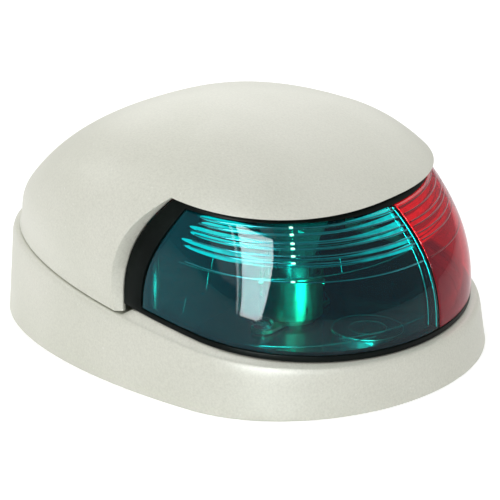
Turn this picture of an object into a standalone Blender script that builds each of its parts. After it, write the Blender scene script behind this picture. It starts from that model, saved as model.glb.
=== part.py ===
"""Deck-mounted bow navigation light: egg-shaped base, two-colour lens, snap-on hood and bayonet bulb.

Lengths are in millimetres until a mesh is made. +X points ahead, +Y to port, +Z up from the deck.
"""
import math

import bmesh
import bpy
from mathutils import Vector

MM = 0.001
GAP = 0.3

# Plan of the base: two half ellipses that meet at the widest station.
HALF_LENGTH = 70.0
WIDEST_X = 27.0
HALF_WIDTH = 53.4
RING_POINTS = 60
CORNER_BEARINGS = (101.3, 103.1, 105.0)    # extra points where hood, lens frame and ledge meet

# The rim falls towards the bow, so its height depends on x.
RIM_Z = 18.8
RIM_SLOPE = -0.122
RIM_INSET = (3.1, 0.5, 4.6)          # bow, side, stern
LEDGE_INSET = (8.0, 5.4, 8.0)
LEDGE_RISE = 2.8                      # height of the lens seat over the rim at x = 0
LEDGE_RISE_SLOPE = -0.045
SKIRT_WALL = 3.0
FLOOR_UNDER = 2.2
FLOOR_TOP = 4.4
HOOD_SEAM = 0.6

# Hood: level sections that shrink from the rim to the crown.
CROWN_Z = 64.9
CROWN_X = 3.7
CROWN_WIDEST_X = 12.4
CROWN_SLOPE = -0.12
HOOD_BOW_X = 66.6
HOOD_STERN_X = -64.3
HOOD_HALF_WIDTH = 52.6
HOOD_SQUARENESS = (2.0, 2.4)           # section exponent at the rim and higher up
SQUARE_BY = 0.35
HOOD_WALL = 2.4
HOOD_LEVELS = 15
HOOD_POINTS = 64
SIDE_POWER, SIDE_SWELL = 5.7, 0.06
BOW_POWER, BOW_SWELL = 1.58, 0.37
STERN_POWER, STERN_SWELL = 1.0, 0.11

# Visor: the plane of its lower edge, and the rear edge of the lens opening.
VISOR_Z = 54.0
VISOR_SLOPE = -0.198
OPENING_BOTTOM_X = 4.2
OPENING_TOP_X = 18.9
LEAN_POWER = 2.5
REVEAL_Y = 50.0
REVEAL_FLARE = 0.8

# Lens wall, between an ellipse on the ledge and a smaller one under the visor.
LENS_FOOT = (64.8 - WIDEST_X, 51.2, 90.0)       # bow, side and stern half axes
LENS_HEAD_X = 18.0
LENS_HEAD = (31.0, 47.4)
FOOT_ANGLE = math.acos((OPENING_BOTTOM_X - WIDEST_X) / LENS_FOOT[2])
HEAD_ANGLE = math.acos((OPENING_TOP_X - LENS_HEAD_X) / LENS_HEAD[0])
LENS_WALL = 2.2
FRAME_WALL = 2.5
FRAME_FOOT = 0.045                    # share of the lens height taken by the frame's runs
FRAME_HEAD = 0.955
FRAME_POST = (0.036, 0.080)           # share of the sweep taken by its posts, foot and head
SEAM_HALF = 0.15

# Bulb and socket share one upright axis.
BULB_X = 20.3
PIN_Z = 16.0
PIN_RADIUS = 1.0
PIN_REACH = 8.8
PIN_BEARING = 215.0
BULB_TURN = 22.0
PUSH = 1.6
SHELL_RADIUS = 8.4
SHELL_WALL = 0.5
SHELL_MOUTH_Z = 19.4
SHELL_STEP_Z = 7.6
BARREL_RADIUS = 6.3
BARREL_FOOT_Z = 1.0
EAR_SPAN = 13.0
EAR_RADIUS = 3.2
EAR_Z = (6.5, 7.4)
BASE_RADIUS = 7.55
GLOBE_RADIUS = 9.5
GLOBE_Z = 35.0
STUD_OFFSET = 2.7
STUD_RADIUS = 0.9
ROUND_POINTS = 32
BULB_SEAT_Z = 6.0                     # underside of the disc that carries the bulb
BULB_ORIGIN = (BULB_X, 0.0, BULB_SEAT_Z)
CONTACT_BEARING = PIN_BEARING + 90.0  # the two contacts lie square to the pins

# Inside the socket.
PLUG_Z = (1.2, 2.0)
DISC_Z = (BULB_SEAT_Z, 7.6)
STUD_Z = (5.2, 7.9, 8.2)
LEAD_HOLE = 1.2
EAR_HOLE = 1.6
SPRING_Z = (2.6, 5.4)
SPRING_TURNS = 3.5
SPRING_RADIUS = 4.9
SPRING_WIRE = 0.25
SCREW_SHANK = 1.25
SCREW_HEAD = 2.7
SCREW_FOOT_Z = 2.6

# Inside the bulb.
NECK_RADIUS = 6.3
NECK_FOOT_Z = 20.0
NECK_TOP_Z = 24.4
SHOULDER_Z = 26.2
GLASS_WALL = 0.7
CAP_Z = (10.0, 23.0, 24.0)
INSULATOR_RADIUS = 5.2
INSULATOR_Z = (9.4, 11.0, 13.0)
CONTACT_Z = (8.5, 8.6, 9.1)
STEM_PROFILE = ((0.0, NECK_FOOT_Z), (2.6, NECK_FOOT_Z), (2.0, 24.5), (1.1, 27.5), (0.0, 28.2))
SUPPORT_PATH = ((3.2, 20.4), (3.2, 24.0), (3.0, 28.5), (3.4, 31.5), (3.4, 34.0))
SUPPORT_WIRE = 0.25
FILAMENT_Z = 34.6
FILAMENT_ARCH = 1.2
FILAMENT_REACH = 2.7
FILAMENT_RADIUS = 0.3

# Tray behind the lens.
TRAY_INSET = (8.7, 6.1, 8.7)
TRAY_FLOOR = (4.7, 6.2)
TRAY_WALL = 1.4
TRAY_REAR_X = 1.5
TRAY_END = (8.0, 45.4)
COLLAR_RADIUS = 9.5
COLLAR_TOP_Z = 8.4
COLLAR_BORE = 4.6
BOSS_RADIUS = 6.0
BOSS_RISE = 3.0
FIXING_HOLE = 2.3
FRONT_FIXING_X = 44.0
REAR_FIXING_X = -42.0

# Snap arms on the hood, and the catches they pass.
ARM_X = -34.0
ARM_WIDTH = 5.0
ARM_Y = (30.6, 32.3)
ARM_FOOT_Z = 8.0
ARM_ROOT = (31.8, 37.3)
ARM_ROOT_Z = (26.0, 31.0)
CATCH_Y = 32.7
CATCH_DEPTH = 4.5
CATCH_Z = (11.0, 13.5)


def clear_scene():
    for item in list(bpy.data.objects):
        bpy.data.objects.remove(item, do_unlink=True)


def paint(name, colour, roughness, metallic=0.0, clear=0.0):
    material = bpy.data.materials.new(name)
    material.use_nodes = True
    shader = material.node_tree.nodes["Principled BSDF"]
    shader.inputs["Base Color"].default_value = (*colour, 1.0)
    shader.inputs["Roughness"].default_value = roughness
    shader.inputs["Metallic"].default_value = metallic
    shader.inputs["Transmission Weight"].default_value = clear
    return material


def solid(name, points, faces, material, origin=(0.0, 0.0, 0.0), smooth=True):
    """One closed object from points in millimetres, with its own origin."""
    mesh = bpy.data.meshes.new(name)
    shift = Vector(origin)
    mesh.from_pydata([(Vector(p) - shift) * MM for p in points], [], faces)
    work = bmesh.new()
    work.from_mesh(mesh)
    bmesh.ops.recalc_face_normals(work, faces=work.faces)
    if work.calc_volume(signed=True) < 0:
        bmesh.ops.reverse_faces(work, faces=work.faces)
    work.to_mesh(mesh)
    work.free()
    mesh.materials.append(material)
    item = bpy.data.objects.new(name, mesh)
    item.location = shift * MM
    bpy.context.scene.collection.objects.link(item)
    if smooth:
        mesh.shade_smooth()
        mesh.set_sharp_from_angle(angle=math.radians(35.0))
    return item


def rings_to_faces(count, width, closed=False):
    """Quads between rings of equal width. closed joins the last ring to the first."""
    faces = []
    for ring in range(count if closed else count - 1):
        after = (ring + 1) % count
        for i in range(width):
            j = (i + 1) % width
            faces.append((ring * width + i, ring * width + j, after * width + j, after * width + i))
    return faces


def stacked(name, rings, material, **options):
    """A body whose rings run round its axis, with a flat cap at each end."""
    width = len(rings[0])
    points = [p for ring in rings for p in ring]
    faces = rings_to_faces(len(rings), width)
    faces.append(tuple(reversed(range(width))))
    last = (len(rings) - 1) * width
    faces.append(tuple(range(last, last + width)))
    return solid(name, points, faces, material, **options)


def turned(name, profile, material, closed=False, steps=ROUND_POINTS, centre=(BULB_X, 0.0), **options):
    """A turned body. A profile point on the axis becomes one pole."""
    points, rows = [], []
    for radius, z in profile:
        if radius < 1e-6:
            rows.append([len(points)] * steps)
            points.append((centre[0], centre[1], z))
            continue
        rows.append(list(range(len(points), len(points) + steps)))
        for i in range(steps):
            a = math.tau * i / steps
            points.append((centre[0] + radius * math.cos(a), centre[1] + radius * math.sin(a), z))
    faces = []
    spans = len(rows) if closed else len(rows) - 1
    for r in range(spans):
        low, high = rows[r], rows[(r + 1) % len(rows)]
        if low[0] == low[1] and high[0] == high[1]:
            continue
        for i in range(steps):
            j = (i + 1) % steps
            corners = []
            for corner in (low[i], low[j], high[j], high[i]):
                if corner not in corners:
                    corners.append(corner)
            faces.append(tuple(corners))
    if not closed:
        for row in (rows[0], rows[-1]):
            if row[0] != row[1]:
                faces.append(tuple(row))
    return solid(name, points, faces, material, **options)


def rod(name, start, end, radius, material, steps=12, **options):
    a, b = Vector(start), Vector(end)
    turn = (b - a).to_track_quat("Z", "Y")
    rings = []
    for centre in (a, b):
        rings.append([centre + turn @ Vector((radius * math.cos(math.tau * i / steps),
                                              radius * math.sin(math.tau * i / steps), 0.0))
                      for i in range(steps)])
    return stacked(name, rings, material, **options)


def tube_along(name, path, radius, material, steps=8, **options):
    """A round wire along a path of points, with capped ends."""
    rings = []
    side = None
    for i, centre in enumerate(path):
        ahead = (path[min(i + 1, len(path) - 1)] - path[max(i - 1, 0)]).normalized()
        side = ahead.orthogonal() if side is None else side - ahead * side.dot(ahead)
        side.normalize()
        up = ahead.cross(side)
        ring = []
        for k in range(steps):
            a = math.tau * k / steps
            ring.append(centre + (side * math.cos(a) + up * math.sin(a)) * radius)
        rings.append(ring)
    return stacked(name, rings, material, **options)


def block(name, low, high, material=None, **options):
    (x0, y0, z0), (x1, y1, z1) = low, high
    rings = [[(x0, y0, z), (x1, y0, z), (x1, y1, z), (x0, y1, z)] for z in (z0, z1)]
    return stacked(name, rings, material, smooth=False, **options)


def combine(target, tool, operation):
    """Boolean with a helper body that is left out of the model."""
    change = target.modifiers.new(tool.name, "BOOLEAN")
    change.operation = operation
    change.solver = "EXACT"
    change.object = tool
    tool.hide_render = True
    tool.display_type = "WIRE"
    return change


def apply_changes(item):
    """Fix the modifiers in the mesh and drop their helper bodies."""
    tools = [m.object for m in item.modifiers if m.type == "BOOLEAN"]
    bpy.context.view_layer.update()
    shape = bpy.data.meshes.new_from_object(item.evaluated_get(bpy.context.evaluated_depsgraph_get()))
    work = bmesh.new()
    work.from_mesh(shape)
    bmesh.ops.remove_doubles(work, verts=work.verts, dist=MM * 0.002)
    bmesh.ops.dissolve_degenerate(work, edges=work.edges, dist=MM * 0.002)
    work.to_mesh(shape)
    work.free()
    item.modifiers.clear()
    item.data = shape
    for tool in tools:
        bpy.data.objects.remove(tool, do_unlink=True)
    shape.shade_smooth()
    shape.set_sharp_from_angle(angle=math.radians(35.0))
    return item


def drill(target, x, y, radius, low, high, steps=24):
    tool = rod("hole_tool", (x, y, low), (x, y, high), radius, STEEL, steps=steps)
    combine(target, tool, "DIFFERENCE")


# Outlines.

def rim_z(x):
    return RIM_Z + RIM_SLOPE * x


def seat_z(x):
    return rim_z(x) + LEDGE_RISE + LEDGE_RISE_SLOPE * x


def visor_z(x):
    return VISOR_Z + VISOR_SLOPE * x


def egg_point(angle, inset):
    """A point of the base's plan, drawn in by its own amount at bow, side and stern."""
    bow, side, stern = inset
    c, s = math.cos(angle), math.sin(angle)
    reach = HALF_LENGTH - WIDEST_X - bow if c > 0 else HALF_LENGTH + WIDEST_X - stern
    return WIDEST_X + reach * c, (HALF_WIDTH - side) * s


def egg_angles():
    angles = [math.tau * i / RING_POINTS for i in range(RING_POINTS)]
    for bearing in CORNER_BEARINGS:
        angles += [math.radians(bearing), math.tau - math.radians(bearing)]
    return sorted(angles)


def egg_ring(inset, height):
    ring = []
    for angle in egg_angles():
        x, y = egg_point(angle, inset)
        ring.append((x, y, height(x) if callable(height) else height))
    return ring


def smooth_step(value):
    t = min(max(value, 0.0), 1.0)
    return t * t * (3.0 - 2.0 * t)


def ledge_inner_z(x):
    """The ledge is level under the hood and rises into the lens seat ahead of it."""
    return rim_z(x) + (seat_z(x) - rim_z(x)) * smooth_step((x - OPENING_BOTTOM_X) / 3.0)


def part_way(share):
    return tuple(share * value for value in RIM_INSET)


# Base and gasket.

def make_base():
    wall = (SKIRT_WALL, SKIRT_WALL, SKIRT_WALL)
    rings = [
        egg_ring(wall, FLOOR_UNDER),
        egg_ring(wall, 0.0),
        egg_ring((0.0, 0.0, 0.0), 0.0),
        egg_ring(part_way(0.62), lambda x: rim_z(x) - 2.6),
        egg_ring(part_way(0.80), lambda x: rim_z(x) - 0.9),
        egg_ring(part_way(1.0), lambda x: rim_z(x) - 0.2),
        egg_ring(tuple(v + 0.7 for v in RIM_INSET), rim_z),
        egg_ring(tuple(v - 2.7 for v in LEDGE_INSET), ledge_inner_z),
        egg_ring(LEDGE_INSET, ledge_inner_z),
        egg_ring(LEDGE_INSET, FLOOR_TOP),
    ]
    base = stacked("base_shell", rings, IVORY)
    for sign in (-1.0, 1.0):
        low, high = sorted((sign * CATCH_Y, sign * (CATCH_Y + CATCH_DEPTH)))
        catch = block("catch_tool", (ARM_X - ARM_WIDTH / 2, low, CATCH_Z[0]),
                      (ARM_X + ARM_WIDTH / 2, high, CATCH_Z[1]), IVORY)
        combine(base, catch, "UNION")
    rear_boss = rod("boss_tool", (REAR_FIXING_X, 0.0, FLOOR_TOP - 1.0),
                    (REAR_FIXING_X, 0.0, FLOOR_TOP + BOSS_RISE), BOSS_RADIUS, IVORY, steps=32)
    combine(base, rear_boss, "UNION")
    drill(base, BULB_X, 0.0, BARREL_RADIUS + 0.5, FLOOR_UNDER - 1.0, FLOOR_TOP + 1.0, steps=32)
    drill(base, FRONT_FIXING_X, 0.0, FIXING_HOLE, FLOOR_UNDER - 1.0, FLOOR_TOP + 1.0)
    drill(base, REAR_FIXING_X, 0.0, FIXING_HOLE, FLOOR_UNDER - 1.0, FLOOR_TOP + BOSS_RISE + 1.0)
    for sign in (-1.0, 1.0):
        drill(base, BULB_X, sign * EAR_SPAN, EAR_HOLE, FLOOR_UNDER - 1.0, FLOOR_TOP + 1.0, steps=16)
    return apply_changes(base)


def make_gasket():
    inset = (SKIRT_WALL + 0.4,) * 3
    gasket = stacked("deck_gasket", [egg_ring(inset, 0.0), egg_ring(inset, FLOOR_UNDER - GAP)], FOAM)
    drill(gasket, BULB_X, 0.0, BARREL_RADIUS + 0.9, -1.0, 3.0, steps=32)
    for x in (FRONT_FIXING_X, REAR_FIXING_X):
        drill(gasket, x, 0.0, FIXING_HOLE, -1.0, 3.0)
    for sign in (-1.0, 1.0):
        drill(gasket, BULB_X, sign * EAR_SPAN, EAR_HOLE + 0.4, -1.0, 3.0, steps=16)
    return apply_changes(gasket)


# Hood.

def profile(u, power, swell):
    return math.sqrt(max(1.0 - u ** power, 0.0)) * (1.0 + swell * u * (1.0 - u))


def hood_ring(u, thinner, lift, points=HOOD_POINTS):
    """One level section of the hood, drawn in by the wall for its inner face."""
    half = (HOOD_HALF_WIDTH - thinner) * profile(u, SIDE_POWER, SIDE_SWELL)
    bow = CROWN_X + (HOOD_BOW_X - thinner - CROWN_X) * profile(u, BOW_POWER, BOW_SWELL)
    stern = CROWN_X + (HOOD_STERN_X + thinner - CROWN_X) * profile(u, STERN_POWER, STERN_SWELL)
    widest = WIDEST_X + (CROWN_WIDEST_X - WIDEST_X) * u
    widest = min(max(widest, stern + 0.4 * (bow - stern)), bow - 0.25 * (bow - stern))
    slope = RIM_SLOPE + (CROWN_SLOPE - RIM_SLOPE) * u
    level = RIM_Z + lift + (CROWN_Z - thinner - RIM_Z - lift) * u
    low, high = HOOD_SQUARENESS
    grow = 2.0 / (low + (high - low) * smooth_step(u / SQUARE_BY))
    ring = []
    for i in range(points):
        a = math.tau * i / points
        c, s = math.cos(a), math.sin(a)
        reach = bow - widest if c > 0 else widest - stern
        x = widest + math.copysign(reach * abs(c) ** grow, c)
        y = math.copysign(half * abs(s) ** grow, s)
        ring.append((x, y, level + slope * x))
    return ring


def dome(name, thinner, lift, drop=0.0):
    """A closed dome. drop carries its foot below the rim, for a body that cuts."""
    rings = []
    if drop:
        rings.append([(x, y, z - drop) for x, y, z in hood_ring(0.0, thinner, lift)])
    for k in range(HOOD_LEVELS):
        u = 1.0 - (1.0 - k / HOOD_LEVELS) ** 1.6
        rings.append(hood_ring(u, thinner, lift))
    width = len(rings[0])
    points = [p for ring in rings for p in ring]
    faces = rings_to_faces(len(rings), width)
    faces.append(tuple(reversed(range(width))))
    crown = len(points)
    points.append((CROWN_X, 0.0, CROWN_Z - thinner + CROWN_SLOPE * CROWN_X))
    last = (len(rings) - 1) * width
    faces += [(last + i, last + (i + 1) % width, crown) for i in range(width)]
    return solid(name, points, faces, IVORY)


def opening_x(z, y):
    """The rear edge of the lens opening in the hood, which flares towards the outside."""
    low, high = seat_z(OPENING_BOTTOM_X), visor_z(OPENING_TOP_X)
    v = min(max((z - low) / (high - low), 0.0), 1.0)
    edge = OPENING_BOTTOM_X + (OPENING_TOP_X - OPENING_BOTTOM_X) * v ** LEAN_POWER - GAP
    return edge - max(abs(y) - REVEAL_Y, 0.0) * REVEAL_FLARE


def make_opening_tool():
    """All that lies under the visor's plane and ahead of the opening's rear edge."""
    low, high = seat_z(OPENING_BOTTOM_X), visor_z(OPENING_TOP_X)
    heights = [2.0] + [low + (high - low) * k / 14 for k in range(15)]
    ahead = HALF_LENGTH + 20.0
    rings = []
    for y in (-60.0, -REVEAL_Y, REVEAL_Y, 60.0):
        rear = [(opening_x(z, y), y, z) for z in heights]
        rear[-1] = (rear[-1][0], y, visor_z(rear[-1][0]))
        rings.append(rear + [(ahead, y, visor_z(ahead)), (ahead, y, heights[0])])
    return stacked("opening_tool", rings, IVORY, smooth=False)


def make_hood():
    hood = dome("hood", 0.0, HOOD_SEAM)
    combine(hood, dome("hollow_tool", HOOD_WALL, HOOD_SEAM, drop=12.0), "DIFFERENCE")
    combine(hood, make_opening_tool(), "DIFFERENCE")
    for sign in (-1.0, 1.0):
        low, high = sorted(sign * y for y in ARM_Y)
        arm = block("arm_tool", (ARM_X - ARM_WIDTH / 2, low, ARM_FOOT_Z),
                    (ARM_X + ARM_WIDTH / 2, high, ARM_ROOT_Z[1] - 0.5), IVORY)
        low, high = sorted(sign * y for y in ARM_ROOT)
        root = block("root_tool", (ARM_X - ARM_WIDTH / 2 - 0.2, low, ARM_ROOT_Z[0]),
                     (ARM_X + ARM_WIDTH / 2 + 0.2, high, ARM_ROOT_Z[1]), IVORY)
        combine(hood, root, "UNION")
        combine(hood, arm, "UNION")
    return apply_changes(hood)


# Lens and its frame.

def lens_point(s, v, inset):
    """A point of the lens wall. s sweeps from starboard rear to port rear, v climbs."""
    a, b = s * FOOT_ANGLE, s * HEAD_ANGLE
    reach = LENS_FOOT[0] if math.cos(a) > 0 else LENS_FOOT[2]
    foot = (WIDEST_X + (reach - inset) * math.cos(a), (LENS_FOOT[1] - inset) * math.sin(a))
    head = (LENS_HEAD_X + (LENS_HEAD[0] - inset) * math.cos(b), (LENS_HEAD[1] - inset) * math.sin(b))
    lean = v ** LEAN_POWER
    low, high = seat_z(foot[0]) + GAP, visor_z(head[0]) - 0.4
    x = foot[0] + (head[0] - foot[0]) * lean
    y = foot[1] + (head[1] - foot[1]) * lean
    return x, y, low + (high - low) * v


def post_edge(v):
    foot, head = FRAME_POST
    return 1.0 - foot - (head - foot) * v ** LEAN_POWER


def make_frame():
    """The black frame: foot run, two rear posts and head run in one closed loop."""
    outer, inner = [], []
    sweep, climb = 36, 12
    for k in range(sweep):
        s = -1.0 + 2.0 * k / sweep
        outer.append((s, 0.0))
        inner.append((s * post_edge(FRAME_FOOT), FRAME_FOOT))
    for k in range(climb):
        v = k / climb
        outer.append((1.0, v))
        w = FRAME_FOOT + (FRAME_HEAD - FRAME_FOOT) * v
        inner.append((post_edge(w), w))
    for k in range(sweep):
        s = 1.0 - 2.0 * k / sweep
        outer.append((s, 1.0))
        inner.append((s * post_edge(FRAME_HEAD), FRAME_HEAD))
    for k in range(climb):
        v = 1.0 - k / climb
        outer.append((-1.0, v))
        w = FRAME_FOOT + (FRAME_HEAD - FRAME_FOOT) * v
        inner.append((-post_edge(w), w))
    points = []
    for o, i in zip(outer, inner):
        points += [lens_point(*o, 0.0), lens_point(*i, 0.0)]
        points += [lens_point(*i, FRAME_WALL), lens_point(*o, FRAME_WALL)]
    return solid("lens_frame", points, rings_to_faces(len(outer), 4, closed=True), BLACK)


def sheet(name, outer, inner, material):
    """A closed wall between two equal grids of points."""
    rows, columns = len(outer), len(outer[0])
    points = [p for row in outer for p in row] + [p for row in inner for p in row]
    back = rows * columns
    faces = []
    for r in range(rows - 1):
        for c in range(columns - 1):
            a, b = r * columns + c, (r + 1) * columns + c
            faces.append((a, a + 1, b + 1, b))
            faces.append((back + b, back + b + 1, back + a + 1, back + a))
    border = [c for c in range(columns)]
    border += [r * columns + columns - 1 for r in range(1, rows)]
    border += [(rows - 1) * columns + c for c in range(columns - 2, -1, -1)]
    border += [r * columns for r in range(rows - 2, 0, -1)]
    for k, a in enumerate(border):
        b = border[(k + 1) % len(border)]
        faces.append((a, back + a, back + b, b))
    return solid(name, points, faces, material)


def make_lens(name, side, material):
    """One half of the lens. side is -1 to starboard and 1 to port."""
    sweep, climb = 15, 8
    slack = GAP / 32.0
    grids = []
    for inset in (0.0, LENS_WALL):
        grid = []
        for r in range(climb + 1):
            v = FRAME_FOOT + slack + (FRAME_HEAD - FRAME_FOOT - 2.0 * slack) * r / climb
            row = []
            for c in range(sweep + 1):
                share = c / sweep
                x, y, z = lens_point(share * (post_edge(v) - 0.005), v, inset)
                y += (SEAM_HALF + GAP) * (1.0 - share)
                row.append((x, side * y, z))
            grid.append(row)
        grids.append(grid)
    return sheet(name, grids[0], grids[1], material)


def make_seam():
    """The thin dark strip that joins the two lens halves dead ahead."""
    slack = GAP / 32.0
    rings = []
    for r in range(9):
        v = FRAME_FOOT + slack + (FRAME_HEAD - FRAME_FOOT - 2.0 * slack) * r / 8
        out, back = lens_point(0.0, v, 0.0), lens_point(0.0, v, LENS_WALL)
        rings.append([(out[0], -SEAM_HALF, out[2]), (out[0], SEAM_HALF, out[2]),
                      (back[0], SEAM_HALF, back[2]), (back[0], -SEAM_HALF, back[2])])
    return stacked("lens_seam", rings, BLACK, smooth=False)


# Tray.

def tray_outline(inset, rear_shift):
    """The tray's plan: the base's egg ahead of the rear wall, then the wall's arc."""
    end_x, end_y = TRAY_END[0], TRAY_END[1] - rear_shift
    limit = math.acos((TRAY_END[0] - WIDEST_X) / (HALF_LENGTH + WIDEST_X - inset[2]))
    points = []
    for k in range(45):
        a = -limit + 2.0 * limit * k / 44
        x, y = egg_point(a, inset)
        points.append((x, y, False))
    rise = TRAY_END[0] - TRAY_REAR_X
    for k in range(1, 20):
        t = 1.0 - 2.0 * k / 20
        points.append((end_x - rise * (1.0 - t * t) + rear_shift, end_y * t, True))
    return points


def make_tray():
    outer = tray_outline(TRAY_INSET, 0.0)
    inner = tray_outline(tuple(v + TRAY_WALL for v in TRAY_INSET), TRAY_WALL)

    def top(x, rear):
        return visor_z(x) - 4.0 if rear else rim_z(x) - 0.6

    rings = [
        [(x, y, TRAY_FLOOR[0]) for x, y, _ in outer],
        [(x, y, top(x, rear)) for x, y, rear in outer],
        [(x, y, top(x, rear)) for x, y, rear in inner],
        [(x, y, TRAY_FLOOR[1]) for x, y, _ in inner],
    ]
    tray = stacked("light_tray", rings, BLACK)
    collar = rod("collar_tool", (FRONT_FIXING_X, 0.0, TRAY_FLOOR[0] + 0.5),
                 (FRONT_FIXING_X, 0.0, COLLAR_TOP_Z), COLLAR_RADIUS, BLACK, steps=40)
    combine(tray, collar, "UNION")
    drill(tray, FRONT_FIXING_X, 0.0, COLLAR_BORE, TRAY_FLOOR[1] - 0.6, 12.0, steps=32)
    drill(tray, FRONT_FIXING_X, 0.0, FIXING_HOLE, TRAY_FLOOR[0] - 1.0, 9.0)
    drill(tray, BULB_X, 0.0, BARREL_RADIUS + 0.5, TRAY_FLOOR[0] - 1.0, 9.0, steps=32)
    for sign in (-1.0, 1.0):
        drill(tray, BULB_X, sign * EAR_SPAN, EAR_HOLE, TRAY_FLOOR[0] - 1.0, 9.0, steps=16)
    return apply_changes(tray)


# Socket.

def sector(name, low_deg, high_deg, z0, z1, steps=6):
    """A block that spans a bearing range of the socket's wall."""
    near, far = SHELL_RADIUS - 2.0, SHELL_RADIUS + 2.0
    rings = []
    for k in range(steps + 1):
        a = math.radians(low_deg + (high_deg - low_deg) * k / steps)
        c, s = math.cos(a), math.sin(a)
        rings.append([(BULB_X + near * c, near * s, z0), (BULB_X + far * c, far * s, z0),
                      (BULB_X + far * c, far * s, z1), (BULB_X + near * c, near * s, z1)])
    return stacked(name, rings, BRASS, smooth=False)


def make_socket():
    """Stepped sleeve with two ears and two bayonet slots."""
    r, w = SHELL_RADIUS, SHELL_WALL
    shell = turned("socket_shell", [
        (BARREL_RADIUS - w, BARREL_FOOT_Z), (BARREL_RADIUS, BARREL_FOOT_Z), (BARREL_RADIUS, SHELL_STEP_Z),
        (r, SHELL_STEP_Z), (r, SHELL_MOUTH_Z), (r - w, SHELL_MOUTH_Z), (r - w, SHELL_STEP_Z + w),
        (BARREL_RADIUS - w, SHELL_STEP_Z + w)], BRASS, closed=True, steps=48)
    for sign in (-1.0, 1.0):
        ends = sorted((sign * (BARREL_RADIUS - 0.3), sign * EAR_SPAN))
        arm = block("ear_tool", (BULB_X - EAR_RADIUS, ends[0], EAR_Z[0]),
                    (BULB_X + EAR_RADIUS, ends[1], EAR_Z[1]), BRASS)
        combine(shell, arm, "UNION")
        tip = rod("ear_tip_tool", (BULB_X, sign * EAR_SPAN, EAR_Z[0]), (BULB_X, sign * EAR_SPAN, EAR_Z[1]),
                  EAR_RADIUS, BRASS, steps=24)
        combine(shell, tip, "UNION")
        drill(shell, BULB_X, sign * EAR_SPAN, EAR_HOLE, EAR_Z[0] - 1.0, EAR_Z[1] + 1.0, steps=16)
    half = math.degrees((PIN_RADIUS + GAP) / (SHELL_RADIUS - SHELL_WALL))
    for turn in (0.0, 180.0):
        bearing = PIN_BEARING + turn
        leg = sector("leg_tool", bearing - half, bearing + BULB_TURN + half,
                     PIN_Z - PIN_RADIUS - PUSH - GAP, PIN_Z + PIN_RADIUS + GAP)
        combine(shell, leg, "DIFFERENCE")
        entry = sector("entry_tool", bearing + BULB_TURN - half, bearing + BULB_TURN + half,
                       PIN_Z, SHELL_MOUTH_Z + 1.0)
        combine(shell, entry, "DIFFERENCE")
    return apply_changes(shell)


def crosswise(reach, sign):
    """A point on the line through the two contacts, as (x, y)."""
    bearing = math.radians(CONTACT_BEARING)
    return BULB_X + sign * reach * math.cos(bearing), sign * reach * math.sin(bearing)


def make_plug_and_disc():
    """The plug that closes the barrel, and the sprung disc with its two studs."""
    bore = BARREL_RADIUS - SHELL_WALL
    plug = turned("socket_plug", [(0.0, PLUG_Z[0]), (bore - GAP, PLUG_Z[0]),
                                  (bore - GAP, PLUG_Z[1]), (0.0, PLUG_Z[1])], BAKELITE)
    slide = bore - 0.4
    disc = turned("contact_disc", [(0.0, DISC_Z[0]), (slide, DISC_Z[0]),
                                   (slide, DISC_Z[1]), (0.0, DISC_Z[1])], BAKELITE, origin=BULB_ORIGIN)
    for label, sign in (("a", 1.0), ("b", -1.0)):
        x, y = crosswise(STUD_OFFSET, sign)
        drill(disc, x, y, STUD_RADIUS + GAP, DISC_Z[0] - 1.0, DISC_Z[1] + 1.4, steps=16)
        drill(plug, x, y, LEAD_HOLE, PLUG_Z[0] - 1.2, PLUG_Z[1] + 1.0, steps=16)
        foot, shoulder, tip = STUD_Z
        outline = [(0.0, foot), (STUD_RADIUS, foot), (STUD_RADIUS, shoulder), (0.5, tip), (0.0, tip)]
        turned("contact_stud_" + label, outline, BRASS, steps=16, centre=(x, y), origin=BULB_ORIGIN)
    apply_changes(plug)
    apply_changes(disc)


def make_socket_spring():
    path = []
    per_turn = 20
    total = SPRING_TURNS * per_turn
    low, high = SPRING_Z
    for k in range(int(total) + 1):
        a = math.tau * k / per_turn
        x, y = BULB_X + SPRING_RADIUS * math.cos(a), SPRING_RADIUS * math.sin(a)
        path.append(Vector((x, y, low + (high - low) * k / total)))
    tube_along("socket_spring", path, SPRING_WIRE, STEEL, steps=6)


def make_socket_screw(label, sign):
    """A cross-headed screw that holds one ear of the socket down."""
    seat = EAR_Z[1] + GAP
    screw = turned("socket_screw_" + label, [
        (0.0, SCREW_FOOT_Z), (1.0, SCREW_FOOT_Z), (SCREW_SHANK, SCREW_FOOT_Z + 0.8), (SCREW_SHANK, seat),
        (SCREW_HEAD, seat), (SCREW_HEAD, seat + 1.0), (SCREW_HEAD - 0.7, seat + 1.7), (0.0, seat + 1.7)],
        STEEL, steps=20, centre=(BULB_X, sign * EAR_SPAN))
    slot_z = seat + 0.9
    for reach in ((1.5, 0.3), (0.3, 1.5)):
        slot = block("slot_tool", (BULB_X - reach[0], sign * EAR_SPAN - reach[1], slot_z),
                     (BULB_X + reach[0], sign * EAR_SPAN + reach[1], slot_z + 2.0), STEEL)
        combine(screw, slot, "DIFFERENCE")
    apply_changes(screw)


def make_socket_parts():
    make_plug_and_disc()
    make_socket_spring()
    for label, sign in (("a", 1.0), ("b", -1.0)):
        make_socket_screw(label, sign)


# Bulb.

def globe_arc(radius, bearings):
    points = []
    for bearing in bearings:
        a = math.radians(bearing)
        points.append((radius * math.cos(a), GLOBE_Z + radius * math.sin(a)))
    return points


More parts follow.
